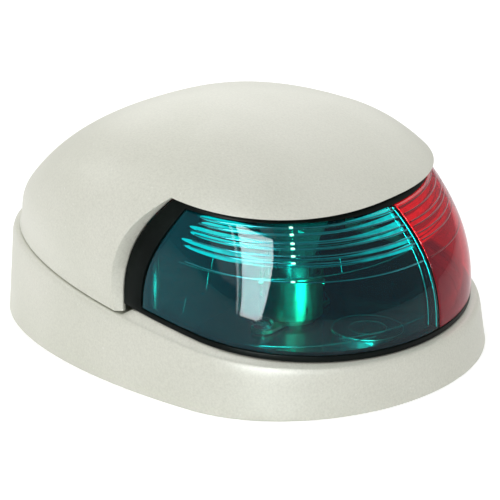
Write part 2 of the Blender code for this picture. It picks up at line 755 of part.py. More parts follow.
def make_bulb_glass():
    """The blown globe with its neck, and the stem inside the neck."""
    shoulder = NECK_RADIUS + 0.4
    small = GLOBE_RADIUS - GLASS_WALL
    outer = [(NECK_RADIUS, NECK_FOOT_Z), (NECK_RADIUS, NECK_TOP_Z), (shoulder, SHOULDER_Z)]
    outer += globe_arc(GLOBE_RADIUS, range(-38, 90, 12))
    outer.append((0.0, GLOBE_Z + GLOBE_RADIUS))
    inner = [(0.0, GLOBE_Z + small)]
    inner += globe_arc(small, range(82, -48, -12))
    inner += [(shoulder - GLASS_WALL, SHOULDER_Z + 0.2), (NECK_RADIUS - GLASS_WALL, NECK_TOP_Z + 0.2),
              (NECK_RADIUS - GLASS_WALL, NECK_FOOT_Z)]
    turned("bulb_glass", outer + inner, CLEAR_GLASS, closed=True, steps=28, origin=BULB_ORIGIN)
    turned("bulb_stem", STEM_PROFILE, CLEAR_GLASS, steps=16, origin=BULB_ORIGIN)


def make_bulb_cap():
    """The metal cap, the insulator that closes its foot, the two pins and the two contacts."""
    rim, neck = BASE_RADIUS - 0.4, BASE_RADIUS - 0.8
    foot, shoulder, lip = CAP_Z
    turned("bulb_base", [(rim, foot), (BASE_RADIUS, foot), (BASE_RADIUS, shoulder), (rim, lip),
                         (neck, lip), (rim, shoulder)], NICKEL, closed=True, origin=BULB_ORIGIN)
    under, ledge, top = INSULATOR_Z
    turned("bulb_insulator", [(0.0, under), (INSULATOR_RADIUS, under), (INSULATOR_RADIUS, ledge),
                              (neck, ledge), (neck, top), (0.0, top)], BAKELITE, steps=28, origin=BULB_ORIGIN)
    bearing = math.radians(PIN_BEARING)
    near, far = BASE_RADIUS + 0.05, PIN_REACH
    tip, bulge, root = CONTACT_Z
    for label, sign in (("a", 1.0), ("b", -1.0)):
        c, s = sign * math.cos(bearing), sign * math.sin(bearing)
        rod("bulb_pin_" + label, (BULB_X + near * c, near * s, PIN_Z), (BULB_X + far * c, far * s, PIN_Z),
            PIN_RADIUS, NICKEL, steps=16, origin=BULB_ORIGIN)
        drop = [(0.0, tip), (0.8, bulge), (1.3, root), (0.0, root)]
        turned("bulb_contact_" + label, drop, SOLDER, steps=16,
               centre=crosswise(STUD_OFFSET, sign), origin=BULB_ORIGIN)


def make_filament():
    """Two support wires and the arched filament between them."""
    for label, sign in (("a", 1.0), ("b", -1.0)):
        path = [Vector((*crosswise(reach, sign), z)) for reach, z in SUPPORT_PATH]
        tube_along("bulb_support_" + label, path, SUPPORT_WIRE, NICKEL, steps=6, origin=BULB_ORIGIN)
    path = []
    for k in range(25):
        t = -1.0 + 2.0 * k / 24
        x, y = crosswise(FILAMENT_REACH * t, 1.0)
        path.append(Vector((x, y, FILAMENT_Z + FILAMENT_ARCH * (1.0 - t * t))))
    tube_along("bulb_filament", path, FILAMENT_RADIUS, TUNGSTEN, steps=6, origin=BULB_ORIGIN)


clear_scene()
IVORY = paint("ivory_shell", (0.66, 0.66, 0.60), 0.45)
BLACK = paint("black_plastic", (0.012, 0.013, 0.013), 0.35)
FOAM = paint("gasket_foam", (0.02, 0.02, 0.02), 0.9)
GREEN = paint("green_lens", (0.0, 0.35, 0.32), 0.05, clear=0.9)
RED = paint("red_lens", (0.62, 0.02, 0.03), 0.05, clear=0.9)
CLEAR_GLASS = paint("clear_glass", (0.95, 0.97, 0.97), 0.02, clear=1.0)
NICKEL = paint("nickel", (0.72, 0.70, 0.66), 0.2, metallic=1.0)
BRASS = paint("socket_brass", (0.62, 0.56, 0.42), 0.3, metallic=1.0)
STEEL = paint("steel", (0.6, 0.6, 0.6), 0.25, metallic=1.0)
BAKELITE = paint("bakelite", (0.05, 0.03, 0.02), 0.5)
SOLDER = paint("solder", (0.6, 0.6, 0.62), 0.35, metallic=1.0)
TUNGSTEN = paint("tungsten", (0.35, 0.33, 0.3), 0.4, metallic=1.0)

make_base()
make_gasket()
make_hood()
make_frame()
make_lens("lens_green", -1.0, GREEN)
make_lens("lens_red", 1.0, RED)
make_seam()
make_tray()
make_socket()
make_socket_parts()
make_bulb_glass()
make_bulb_cap()
make_filament()
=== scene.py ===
"""Bow navigation light: fine surfaces and finishes for every piece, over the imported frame.

Lengths are in millimetres until a mesh is made. +X points ahead, +Y to port, +Z up from the deck.
"""
import math

import bmesh
import bpy
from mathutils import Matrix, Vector


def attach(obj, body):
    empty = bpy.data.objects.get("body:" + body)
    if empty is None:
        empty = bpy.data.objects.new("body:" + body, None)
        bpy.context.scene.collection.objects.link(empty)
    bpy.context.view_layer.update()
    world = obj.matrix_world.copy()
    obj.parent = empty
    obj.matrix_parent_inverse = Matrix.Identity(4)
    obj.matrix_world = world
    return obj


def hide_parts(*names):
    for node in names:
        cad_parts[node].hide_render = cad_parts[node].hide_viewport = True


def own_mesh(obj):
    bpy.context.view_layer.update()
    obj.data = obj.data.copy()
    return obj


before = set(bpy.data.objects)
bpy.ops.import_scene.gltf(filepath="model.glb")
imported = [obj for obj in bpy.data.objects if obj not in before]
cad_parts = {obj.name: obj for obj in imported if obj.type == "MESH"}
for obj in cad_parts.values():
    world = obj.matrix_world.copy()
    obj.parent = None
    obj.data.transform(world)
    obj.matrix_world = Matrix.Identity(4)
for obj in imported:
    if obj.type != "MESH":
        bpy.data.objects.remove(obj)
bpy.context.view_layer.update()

MM = 0.001
GAP = 0.3

# Plan of the base, and the rim that falls towards the bow.
HALF_LENGTH = 70.0
WIDEST_X = 27.0
HALF_WIDTH = 53.4
RING_POINTS = 220
RIM_Z = 18.8
RIM_SLOPE = -0.122
RIM_INSET = (3.1, 0.5, 4.6)           # insets are ahead, to the sides and astern
RIM_START = 0.62                      # share of that inset where the rim's rounding starts
RIM_ROUNDING = 2.6
LEDGE_INSET = (8.0, 5.4, 8.0)
LEDGE_RISE = 2.8
LEDGE_RISE_SLOPE = -0.045
SKIRT_WALL = 3.0
FLOOR_UNDER = 2.2
FLOOR_TOP = 4.4
HOOD_SEAM = 0.6

# Hood.
CROWN_Z = 64.9
CROWN_X = 3.7
CROWN_WIDEST_X = 12.4
CROWN_SLOPE = -0.12
HOOD_BOW_X = 66.6
HOOD_STERN_X = -64.3
HOOD_HALF_WIDTH = 52.6
HOOD_SQUARENESS = (2.0, 2.4)
SQUARE_BY = 0.35
HOOD_WALL = 2.4
SIDE_POWER, SIDE_SWELL = 5.7, 0.06
BOW_POWER, BOW_SWELL = 1.58, 0.37
STERN_POWER, STERN_SWELL = 1.0, 0.11
VISOR_Z = 54.0
VISOR_SLOPE = -0.198
OPENING_BOTTOM_X = 4.2
OPENING_TOP_X = 18.9
LEAN_POWER = 2.5
FLANGE_DEPTH = 1.0                    # how far the hood's edge turns in beside the lens frame
REVEAL = 1.9                          # width of the pale return beside the lens frame

# Lens and frame.
STARBOARD, PORT = -1.0, 1.0
LENS_FOOT = (64.8 - WIDEST_X, 51.2, 90.0)
LENS_HEAD_X = 18.0
LENS_HEAD = (31.0, 47.4)
FOOT_ANGLE = math.acos((OPENING_BOTTOM_X - WIDEST_X) / LENS_FOOT[2])
HEAD_ANGLE = math.acos((OPENING_TOP_X - LENS_HEAD_X) / LENS_HEAD[0])
LENS_WALL = 2.2
FRAME_WALL = 2.5
FRAME_FOOT = 0.045
FRAME_HEAD = 0.955
FRAME_POST = (0.036, 0.080)
LENS_SLACK = GAP / 32.0               # share of the height left free between lens and frame
SEAM_HALF = 0.15

# Bulb and socket.
BULB_X = 20.3
PIN_Z = 16.0
PIN_RADIUS = 1.0
PIN_REACH = 8.8
PIN_BEARING = 215.0
BULB_TURN = 22.0
PUSH = 1.6
SHELL_RADIUS = 8.4
SHELL_WALL = 0.5
SHELL_MOUTH_Z = 19.4
SHELL_STEP_Z = 7.6
BARREL_RADIUS = 6.3
BARREL_FOOT_Z = 1.0
EAR_SPAN = 13.0
EAR_RADIUS = 3.2
EAR_Z = (6.5, 7.4)
EAR_HOLE = 1.6
CAP_RADIUS = 7.55
GLOBE_RADIUS = 9.5
GLOBE_Z = 35.0
NECK_RADIUS = 6.3
NECK_FOOT_Z = 20.0
GLASS_WALL = 0.7
SPRING_RADIUS = 4.9
SPRING_FOOT_Z = 2.6
SPRING_HEIGHT = 2.8
FILAMENT_Z = 34.6
FILAMENT_ARCH = 1.2
FILAMENT_REACH = 2.7

# Tray behind the lens.
TRAY_INSET = (8.7, 6.1, 8.7)
TRAY_FLOOR = (4.7, 6.2)
TRAY_WALL = 1.4
TRAY_REAR_X = 1.5
TRAY_END = (8.0, 45.4)
COLLAR_RADIUS = 9.5
COLLAR_TOP_Z = 8.4
COLLAR_BORE = 4.6
BOSS_RADIUS = 6.0
BOSS_RISE = 3.0
FIXING_HOLE = 2.3
BORE_FOOT_Z = 5.6
DRILL_HEAD_Z = 9.0
FRONT_FIXING_X = 44.0
REAR_FIXING_X = -42.0

# Snap arms on the hood and the catches they pass.
ARM_X = -34.0
ARM_WIDTH = 5.0
ARM_Y = (30.6, 32.3)
ARM_FOOT_Z = 8.0
ARM_ROOT = (31.8, 37.3)
ARM_ROOT_Z = (26.0, 31.0)
CATCH_Y = (32.7, 37.2)
CATCH_Z = (11.0, 13.5)


# Finishes.

class Finish:
    """A material under construction, with short calls for the nodes it needs."""

    def __init__(self, name):
        self.material = bpy.data.materials.new(name)
        self.material.use_nodes = True
        self.tree = self.material.node_tree
        self.shader = self.tree.nodes["Principled BSDF"]
        self.out = self.tree.nodes["Material Output"]
        self.place = self.node("ShaderNodeTexCoord").outputs["Object"]

    def node(self, kind, **values):
        item = self.tree.nodes.new(kind)
        for key, value in values.items():
            setattr(item, key, value)
        return item

    def link(self, source, target):
        self.tree.links.new(source, target)

    def set(self, **values):
        for key, value in values.items():
            self.shader.inputs[key.replace("_", " ")].default_value = value

    def noise(self, grain_mm, detail=3.0, roughness=0.5, stretch=None):
        """Noise whose grain is about that many millimetres across."""
        item = self.node("ShaderNodeTexNoise")
        item.inputs["Scale"].default_value = 1.0 / (grain_mm * MM)
        item.inputs["Detail"].default_value = detail
        item.inputs["Roughness"].default_value = roughness
        source = self.place
        if stretch:
            mapping = self.node("ShaderNodeMapping")
            mapping.inputs["Scale"].default_value = stretch
            self.link(source, mapping.inputs["Vector"])
            source = mapping.outputs["Vector"]
        self.link(source, item.inputs["Vector"])
        return item.outputs["Fac"]

    def ramp(self, value, *stops):
        item = self.node("ShaderNodeValToRGB")
        ramp = item.color_ramp
        while len(ramp.elements) < len(stops):
            ramp.elements.new(0.5)
        for element, (where, colour) in zip(ramp.elements, stops):
            element.position = where
            element.color = (*colour, 1.0)
        self.link(value, item.inputs["Fac"])
        return item.outputs["Color"]

    def span(self, value, low, high, to_low, to_high):
        item = self.node("ShaderNodeMapRange")
        values = {"From Min": low, "From Max": high, "To Min": to_low, "To Max": to_high}
        for key, number in values.items():
            item.inputs[key].default_value = number
        self.link(value, item.inputs["Value"])
        return item.outputs["Result"]

    def blend(self, amount, first, second, mode="MIX"):
        item = self.node("ShaderNodeMix", data_type="RGBA", blend_type=mode)
        for index, value in ((0, amount), (6, first), (7, second)):
            socket = item.inputs[index]
            if isinstance(value, bpy.types.NodeSocket):
                self.link(value, socket)
            else:
                socket.default_value = value
        return item.outputs[2]

    def colour(self, source):
        self.link(source, self.shader.inputs["Base Color"])

    def roughness(self, source):
        self.link(source, self.shader.inputs["Roughness"])

    def worn(self, tone, low, high, polish, gloss, start=0.3):
        """Colour that wanders between two tones, and roughness between the two of gloss."""
        self.colour(self.ramp(tone, (start, low), (0.7, high)))
        self.roughness(self.span(polish, start, 0.7, *gloss))

    def bump(self, height, depth_mm, strength):
        item = self.node("ShaderNodeBump")
        item.inputs["Strength"].default_value = strength
        item.inputs["Distance"].default_value = depth_mm * MM
        self.link(height, item.inputs["Height"])
        self.link(item.outputs["Normal"], self.shader.inputs["Normal"])


def shell_plastic():
    """Off-white moulded plastic with a fine spark-eroded texture."""
    f = Finish("shell_plastic")
    fine = f.noise(0.55, detail=4.0, roughness=0.65)
    broad = f.noise(26.0, detail=2.0)
    specks = f.noise(0.9, detail=1.0)
    tint = f.ramp(broad, (0.35, (0.640, 0.645, 0.560)), (0.65, (0.672, 0.674, 0.592)))
    grain = f.ramp(fine, (0.30, (0.90, 0.90, 0.89)), (0.55, (1.0, 1.0, 1.0)), (0.75, (1.06, 1.06, 1.05)))
    body = f.blend(1.0, tint, grain, "MULTIPLY")
    spark = f.span(specks, 0.72, 0.80, 0.0, 0.5)
    f.colour(f.blend(spark, body, (0.80, 0.80, 0.75, 1.0)))
    f.roughness(f.span(fine, 0.3, 0.7, 0.38, 0.56))
    f.bump(fine, 0.035, 0.55)
    f.set(IOR=1.5)
    return f.material


def black_plastic(name, colour=(0.0045, 0.007, 0.006), gloss=(0.30, 0.42), shine=0.05):
    f = Finish(name)
    smear = f.noise(7.0, detail=4.0)
    low = tuple(0.8 * c for c in colour)
    high = tuple(1.35 * c for c in colour)
    f.worn(smear, low, high, smear, gloss, start=0.35)
    f.bump(f.noise(2.2, detail=2.0), 0.012, 0.35)
    f.set(Specular_IOR_Level=shine)
    return f.material


def see_through(f, through, body):
    """Mixes a clear part with the shaded part, which takes over where the surface is edge-on."""
    facing = f.node("ShaderNodeLayerWeight")
    facing.inputs["Blend"].default_value = 0.5
    edge_on = f.node("ShaderNodeMath", operation="POWER")
    f.link(facing.outputs["Facing"], edge_on.inputs[0])
    edge_on.inputs[1].default_value = 5.0
    mix = f.node("ShaderNodeMixShader")
    f.link(f.span(edge_on.outputs["Value"], 0.0, 1.0, body, 1.0), mix.inputs["Fac"])
    f.link(through.outputs["BSDF"], mix.inputs[1])
    f.link(f.shader.outputs["BSDF"], mix.inputs[2])
    f.link(mix.outputs["Shader"], f.out.inputs["Surface"])


def clear_plastic(name, tint, deep, rear, bow, body, bend=1.8):
    """Tinted lens plastic: what is behind it shows through, under a hard shine."""
    f = Finish(name)
    f.set(Roughness=0.025, IOR=bend)
    apart = f.node("ShaderNodeSeparateXYZ")
    f.link(f.place, apart.inputs["Vector"])
    # Painted light and shade: the shaded part's colour runs from the rear tone to the bow tone along the
    # lens, lighter at one end and darker at the other.
    ahead = f.span(apart.outputs["X"], 0.014, 0.050, 0.0, 1.0)
    f.colour(f.ramp(ahead, (0.0, rear), (1.0, bow)))
    f.bump(f.noise(14.0, detail=1.0), 0.06, 0.08)
    through = f.node("ShaderNodeBsdfTransparent")
    streak = f.noise(9.0, detail=3.0)
    f.link(f.ramp(streak, (0.35, deep), (0.65, tint)), through.inputs["Color"])
    see_through(f, through, body)
    return f.material


def lit_by(f, tone, strength, roughness):
    """A surface that glows with its own colour: painted light, for it is no lamp."""
    f.colour(tone)
    f.link(tone, f.shader.inputs["Emission Color"])
    f.set(Emission_Strength=strength, Roughness=roughness)
    return f.material


def ring_glow(name, dark, bright, lit):
    """Prism facets with a painted glow, which grows towards the ends of each lens half where the prisms
    would collect light.
    """
    f = Finish(name)
    edge = f.node("ShaderNodeAttribute", attribute_name="painted_glow").outputs["Fac"]
    uneven = f.noise(3.0, detail=2.0, stretch=(1.0, 1.0, 3.0))
    level = f.node("ShaderNodeMath", operation="MULTIPLY")
    f.link(edge, level.inputs[0])
    f.link(f.span(uneven, 0.3, 0.7, 0.7, 1.15), level.inputs[1])
    return lit_by(f, f.ramp(level.outputs["Value"], (0.0, dark), (0.9, bright)), lit, 0.15)


def glow(name, colour, lit):
    """Painted glints: glowing spots where the prisms would throw the light straight out."""
    f = Finish(name)
    rim = tuple(0.75 * c for c in colour)
    return lit_by(f, f.ramp(f.noise(0.8, detail=2.0), (0.25, rim), (0.55, colour)), lit, 0.2)


def bead_shine(name, colour):
    """Polished edge lines of the prisms, which catch the light as a mirror would."""
    f = Finish(name)
    f.set(Metallic=1.0, Roughness=0.16)
    f.colour(f.ramp(f.noise(5.0), (0.3, tuple(0.7 * c for c in colour)), (0.7, colour)))
    return f.material


def metal(name, low, high, gloss, scratch_mm=0.8, depth=0.01, stretch=(1.0, 1.0, 0.15)):
    f = Finish(name)
    wear = f.noise(3.5, detail=5.0, roughness=0.6)
    lines = f.noise(scratch_mm, detail=2.0, stretch=stretch)
    f.set(Metallic=1.0)
    f.worn(wear, low, high, lines, gloss)
    f.bump(lines, depth, 0.5)
    return f.material


def blown_glass():
    f = Finish("blown_glass")
    f.set(Base_Color=(0.9, 0.95, 0.95, 1.0), Roughness=0.03, IOR=2.5)
    f.bump(f.noise(9.0), 0.05, 0.15)
    through = f.node("ShaderNodeBsdfTransparent")
    through.inputs["Color"].default_value = (0.97, 0.985, 0.98, 1.0)
    see_through(f, through, 0.14)
    return f.material


def dull(name, low, high, grain_mm, gloss, depth):
    f = Finish(name)
    grain = f.noise(grain_mm, detail=4.0)
    f.worn(grain, low, high, grain, gloss)
    f.bump(grain, depth, 0.6)
    return f.material


# Mesh helpers.

def smooth(mesh, angle=40.0):
    mesh.shade_smooth()
    mesh.set_sharp_from_angle(angle=math.radians(angle))


def linked(name, data):
    """A new object at the origin that holds this mesh, light or camera."""
    item = bpy.data.objects.new(name, data)
    bpy.context.scene.collection.objects.link(item)
    return item


def outward(mesh, merge_mm=0.0005):
    """Joins doubled points and turns every face out."""
    work = bmesh.new()
    work.from_mesh(mesh)
    bmesh.ops.remove_doubles(work, verts=work.verts, dist=merge_mm * MM)
    bmesh.ops.dissolve_degenerate(work, edges=work.edges, dist=merge_mm * MM)
    bmesh.ops.recalc_face_normals(work, faces=work.faces)
    if work.calc_volume(signed=True) < 0:
        bmesh.ops.reverse_faces(work, faces=work.faces)
    work.to_mesh(mesh)
    work.free()


def made(name, points, faces, finish):
    """An object at the origin from points in millimetres."""
    mesh = bpy.data.meshes.new(name)
    mesh.from_pydata([Vector(p) * MM for p in points], [], faces)
    outward(mesh)
    mesh.materials.append(finish)
    smooth(mesh)
    return linked(name, mesh)


def flat(rows):
    return [p for row in rows for p in row]


def grid_faces(rows, columns, first=0):
    """Quads over a grid of points that starts at that index."""
    faces = []
    for r in range(rows - 1):
        for c in range(columns - 1):
            a = first + r * columns + c
            faces.append((a, a + 1, a + columns + 1, a + columns))
    return faces


def ring_faces(count, width, closed=False, first=0):
    """Quads between rings of equal width. closed joins the last ring to the first."""
    faces = []
    for ring in range(count if closed else count - 1):
        low, high = first + ring * width, first + (ring + 1) % count * width
        for i in range(width):
            j = (i + 1) % width
            faces.append((low + i, low + j, high + j, high + i))
    return faces


def stacked(name, rings, finish):
    """A solid through rings of points, closed at both ends."""
    width = len(rings[0])
    faces = ring_faces(len(rings), width)
    faces.append(tuple(reversed(range(width))))
    last = (len(rings) - 1) * width
    faces.append(tuple(range(last, last + width)))
    return made(name, flat(rings), faces, finish)


def circle(radius, steps):
    angles = [math.tau * i / steps for i in range(steps)]
    return [(radius * math.cos(a), radius * math.sin(a)) for a in angles]


def rod(name, start, end, radius, finish, steps=24, edge=0.0):
    """A round bar with softened ends."""
    a, b = Vector(start), Vector(end)
    turn = (b - a).to_track_quat("Z", "Y")
    along = (b - a).normalized()
    stations = [(a + along * edge, radius), (b - along * edge, radius)]
    if edge:
        stations = [(a, radius - edge)] + stations + [(b, radius - edge)]
    rings = [[centre + turn @ Vector((*p, 0.0)) for p in circle(r, steps)] for centre, r in stations]
    return stacked(name, rings, finish)


def side_block(name, x, half, side, ys, zs, finish):
    """A block from x - half to x + half, between two widths on that side and two heights."""
    low, high = sorted(side * y for y in ys)
    corners = ((x - half, low), (x + half, low), (x + half, high), (x - half, high))
    return stacked(name, [[(*corner, z) for corner in corners] for z in zs], finish)


def settle(item):
    """Fixes an object's modifiers in its mesh and drops the bodies they used."""
    tools = [m.object for m in item.modifiers if m.type == "BOOLEAN"]
    bpy.context.view_layer.update()
    shape = bpy.data.meshes.new_from_object(item.evaluated_get(bpy.context.evaluated_depsgraph_get()))
    item.modifiers.clear()
    item.data = shape
    for tool in tools:
        bpy.data.objects.remove(tool, do_unlink=True)
    return item


def finished(item, angle):
    settle(item)
    smooth(item.data, angle)
    return item


def cut(target, tool, operation="DIFFERENCE"):
    change = target.modifiers.new(tool.name, "BOOLEAN")
    change.operation = operation
    change.solver = "EXACT"
    change.object = tool


def join(target, tool):
    cut(target, tool, "UNION")


def drill(target, x, y, radius, low, high):
    cut(target, rod("drill", (x, y, low), (x, y, high), radius, target.data.materials[0], 48))


def drill_ears(target, low, high):
    for sign in (STARBOARD, PORT):
        drill(target, BULB_X, sign * EAR_SPAN, EAR_HOLE, low, high)


def softened(item, width, angle=45.0, segments=3):
    """Rounds every sharp edge by that width."""
    change = item.modifiers.new("soft_edges", "BEVEL")
    change.width = width * MM
    change.segments = segments
    change.limit_method = "ANGLE"
    change.angle_limit = math.radians(angle)
    change.harden_normals = False
    return finished(item, 50.0)


# Geometry node helpers.

class Rule:
    """A geometry tree with named inputs, which makes one shape and gives it a finish."""

    def __init__(self, name, **inputs):
        self.tree = bpy.data.node_groups.new(name, "GeometryNodeTree")
        self.tree.interface.new_socket("Geometry", in_out="INPUT", socket_type="NodeSocketGeometry")
        self.keys = {}
        for key, kind in inputs.items():
            socket = self.tree.interface.new_socket(key, in_out="INPUT", socket_type=kind)
            self.keys[key] = socket.identifier
        self.tree.interface.new_socket("Geometry", in_out="OUTPUT", socket_type="NodeSocketGeometry")
        self.given = self.tree.nodes.new("NodeGroupInput")
        self.result = self.tree.nodes.new("NodeGroupOutput")

    def node(self, kind, links=(), **values):
        item = self.tree.nodes.new(kind)
        for key, value in values.items():
            setattr(item, key, value)
        for source, target in links:
            self.tree.links.new(source, item.inputs[target])
        return item

    def section(self, radius, sides=None):
        item = self.node("GeometryNodeCurvePrimitiveCircle", [(radius, "Radius")])
        if sides is not None:
            self.tree.links.new(sides, item.inputs["Resolution"])
        return item

    def sweep(self, path, section, caps):
        """The section carried along the path."""
        item = self.node("GeometryNodeCurveToMesh", [(path.outputs["Curve"], "Curve"),
                                                     (section.outputs["Curve"], "Profile Curve")])
        item.inputs["Fill Caps"].default_value = caps
        return item.outputs["Mesh"]

    def centred(self, shape):
        """The shape moved to the tree's Centre input."""
        item = self.node("GeometryNodeTransform", [(shape, "Geometry"),
                                                   (self.given.outputs["Centre"], "Translation")])
        return item.outputs["Geometry"]

    def end(self, shape):
        real = self.node("GeometryNodeRealizeInstances", [(shape, "Geometry")])
        finish = self.node("GeometryNodeSetMaterial", [(real.outputs["Geometry"], "Geometry"),
                                                       (self.given.outputs["Finish"], "Material")])
        self.tree.links.new(finish.outputs["Geometry"], self.result.inputs["Geometry"])

    def run(self, name, seed_mesh, angle=40.0, **values):
        """Runs the tree on a mesh and returns the result as a plain object."""
        item = linked(name, seed_mesh)
        change = item.modifiers.new(name, "NODES")
        change.node_group = self.tree
        for key, value in values.items():
            change[self.keys[key]] = value
        settle(item)
        outward(item.data)
        smooth(item.data, angle)
        return item


def path_mesh(paths, closed=False):
    """Edges only, one chain for each path."""
    points, edges = [], []
    for path in paths:
        first = len(points)
        points += [Vector(p) * MM for p in path]
        edges += [(first + i, first + i + 1) for i in range(len(path) - 1)]
        if closed:
            edges.append((first + len(path) - 1, first))
    mesh = bpy.data.meshes.new("path")
    mesh.from_pydata(points, edges, [])
    return mesh


def rule_for_wires():
    """Round wires or beads that follow every path of the given edges."""
    rule = Rule("wires_on_paths", Radius="NodeSocketFloat", Sides="NodeSocketInt",
                Finish="NodeSocketMaterial")
    given = rule.given.outputs
    path = rule.node("GeometryNodeMeshToCurve", [(given["Geometry"], "Mesh")])
    rule.end(rule.sweep(path, rule.section(given["Radius"], given["Sides"]), True))
    return rule


LATHE_RADIUS = 0.01                   # radius of the small circle that a profile is carried round


def rule_for_turning():
    """Carries a profile round a small level circle, which turns it on the circle's axis."""
    rule = Rule("turned_on_axis", Steps="NodeSocketInt", Centre="NodeSocketVector",
                Finish="NodeSocketMaterial")
    given = rule.given.outputs
    profile = rule.node("GeometryNodeMeshToCurve", [(given["Geometry"], "Mesh")])
    circle = rule.node("GeometryNodeCurvePrimitiveCircle", [(given["Steps"], "Resolution")])
    circle.inputs["Radius"].default_value = LATHE_RADIUS * MM
    upright = rule.node("GeometryNodeSetCurveNormal", [(circle.outputs["Curve"], "Curve")], mode="Z_UP")
    rule.end(rule.centred(rule.sweep(upright, profile, False)))
    return rule


def rule_for_springs():
    """A round wire wound as a coil of even pitch."""
    rule = Rule("coil", Radius="NodeSocketFloat", Height="NodeSocketFloat", Turns="NodeSocketFloat",
                Wire="NodeSocketFloat", Centre="NodeSocketVector", Finish="NodeSocketMaterial")
    given = rule.given.outputs
    spiral = rule.node("GeometryNodeCurveSpiral", [
        (given["Turns"], "Rotations"), (given["Radius"], "Start Radius"),
        (given["Radius"], "End Radius"), (given["Height"], "Height")])
    spiral.inputs["Resolution"].default_value = 40
    section = rule.section(given["Wire"])
    section.inputs["Resolution"].default_value = 10
    rule.end(rule.centred(rule.sweep(spiral, section, True)))
    return rule


WIRES = rule_for_wires()
TURNING = rule_for_turning()
SPRINGS = rule_for_springs()


def wires(name, paths, radius, finish, sides=8, closed=False):
    seed = path_mesh(paths, closed)
    return WIRES.run(name, seed, 60.0, Radius=radius * MM, Sides=sides, Finish=finish)


def turned(name, profile, finish, steps, closed=False, angle=35.0):
    """A turned piece on the bulb's axis from (radius, height) pairs."""
    path = [(max(r - LATHE_RADIUS, -LATHE_RADIUS if r < 1e-6 else 0.0), -z, 0.0) for r, z in profile]
    middle = Vector((BULB_X, 0.0, 0.0)) * MM
    return TURNING.run(name, path_mesh([path], closed), angle, Steps=steps, Centre=middle, Finish=finish)


# Outlines shared by the pieces.

def rim_z(x):
    return RIM_Z + RIM_SLOPE * x


def seat_z(x):
    return rim_z(x) + LEDGE_RISE + LEDGE_RISE_SLOPE * x


def visor_z(x):
    return VISOR_Z + VISOR_SLOPE * x


def smooth_step(value):
    t = min(max(value, 0.0), 1.0)
    return t * t * (3.0 - 2.0 * t)


def egg_point(angle, inset):
    bow, side, stern = inset
    c, s = math.cos(angle), math.sin(angle)
    reach = HALF_LENGTH - WIDEST_X - bow if c > 0 else HALF_LENGTH + WIDEST_X - stern
    return WIDEST_X + reach * c, (HALF_WIDTH - side) * s


def egg_ring(inset, height):
    ring = []
    for i in range(RING_POINTS):
        x, y = egg_point(math.tau * i / RING_POINTS, inset)
        ring.append((x, y, height(x) if callable(height) else height))
    return ring


def ledge_inner_z(x):
    """The ledge is level under the hood and rises into the lens seat ahead of it."""
    return rim_z(x) + (seat_z(x) - rim_z(x)) * smooth_step((x - OPENING_BOTTOM_X) / 3.0)


def curve_of_rim(t):
    """Inset share, extra inset and drop along the rim's rounding."""
    share = RIM_START * (1 - t) ** 2 + 2 * 0.80 * t * (1 - t) + t * t
    drop = RIM_ROUNDING * (1 - t) ** 2 + 2 * 0.12 * t * (1 - t)
    return share, 0.7 * t * t, drop


# Base.

def make_base(finish):
    wall = (SKIRT_WALL,) * 3
    rings = [egg_ring(wall, FLOOR_UNDER), egg_ring(wall, 0.25), egg_ring((SKIRT_WALL - 0.25,) * 3, 0.0)]
    rings += [egg_ring((0.3, 0.3, 0.3), 0.0), egg_ring((0.06, 0.06, 0.06), 0.12)]
    rings.append(egg_ring((0.02, 0.01, 0.02), 0.4))
    for k in range(1, 5):
        share = RIM_START * k / 5
        inset = tuple(share * v for v in RIM_INSET)
        rings.append(egg_ring(inset, lambda x, k=k: (rim_z(x) - RIM_ROUNDING) * k / 5))
    for k in range(9):
        share, extra, drop = curve_of_rim(k / 8)
        inset = tuple(share * v + extra for v in RIM_INSET)
        rings.append(egg_ring(inset, lambda x, d=drop: rim_z(x) - d))
    for k in (1, 2, 3):
        inset = tuple(v + 0.7 + (w - 2.7 - v - 0.7) * k / 3 for v, w in zip(RIM_INSET, LEDGE_INSET))
        rings.append(egg_ring(inset, lambda x, k=k: rim_z(x) + (ledge_inner_z(x) - rim_z(x)) * k / 3))
    rings.append(egg_ring(tuple(v - 0.3 for v in LEDGE_INSET), ledge_inner_z))
    rings.append(egg_ring(LEDGE_INSET, lambda x: ledge_inner_z(x) - 0.3))
    rings.append(egg_ring(LEDGE_INSET, FLOOR_TOP))
    base = stacked("skirt_shell", rings, finish)
    for sign in (STARBOARD, PORT):
        join(base, side_block("catch", ARM_X, ARM_WIDTH / 2, sign, CATCH_Y, CATCH_Z, finish))
    boss = rod("boss", (REAR_FIXING_X, 0.0, FLOOR_TOP - 1.0),
               (REAR_FIXING_X, 0.0, FLOOR_TOP + BOSS_RISE), BOSS_RADIUS, finish, 64, edge=0.4)
    join(base, boss)
    drill(base, BULB_X, 0.0, BARREL_RADIUS + 0.5, FLOOR_UNDER - 1.0, FLOOR_TOP + 1.0)
    for x, top in ((FRONT_FIXING_X, FLOOR_TOP + 1.0), (REAR_FIXING_X, FLOOR_TOP + BOSS_RISE + 1.0)):
        drill(base, x, 0.0, FIXING_HOLE, FLOOR_UNDER - 1.0, top)
    drill_ears(base, FLOOR_UNDER - 1.0, FLOOR_TOP + 1.0)
    return finished(base, 38.0)


# Hood.

def swell(u, power, more):
    return math.sqrt(max(1.0 - u ** power, 0.0)) * (1.0 + more * u * (1.0 - u))


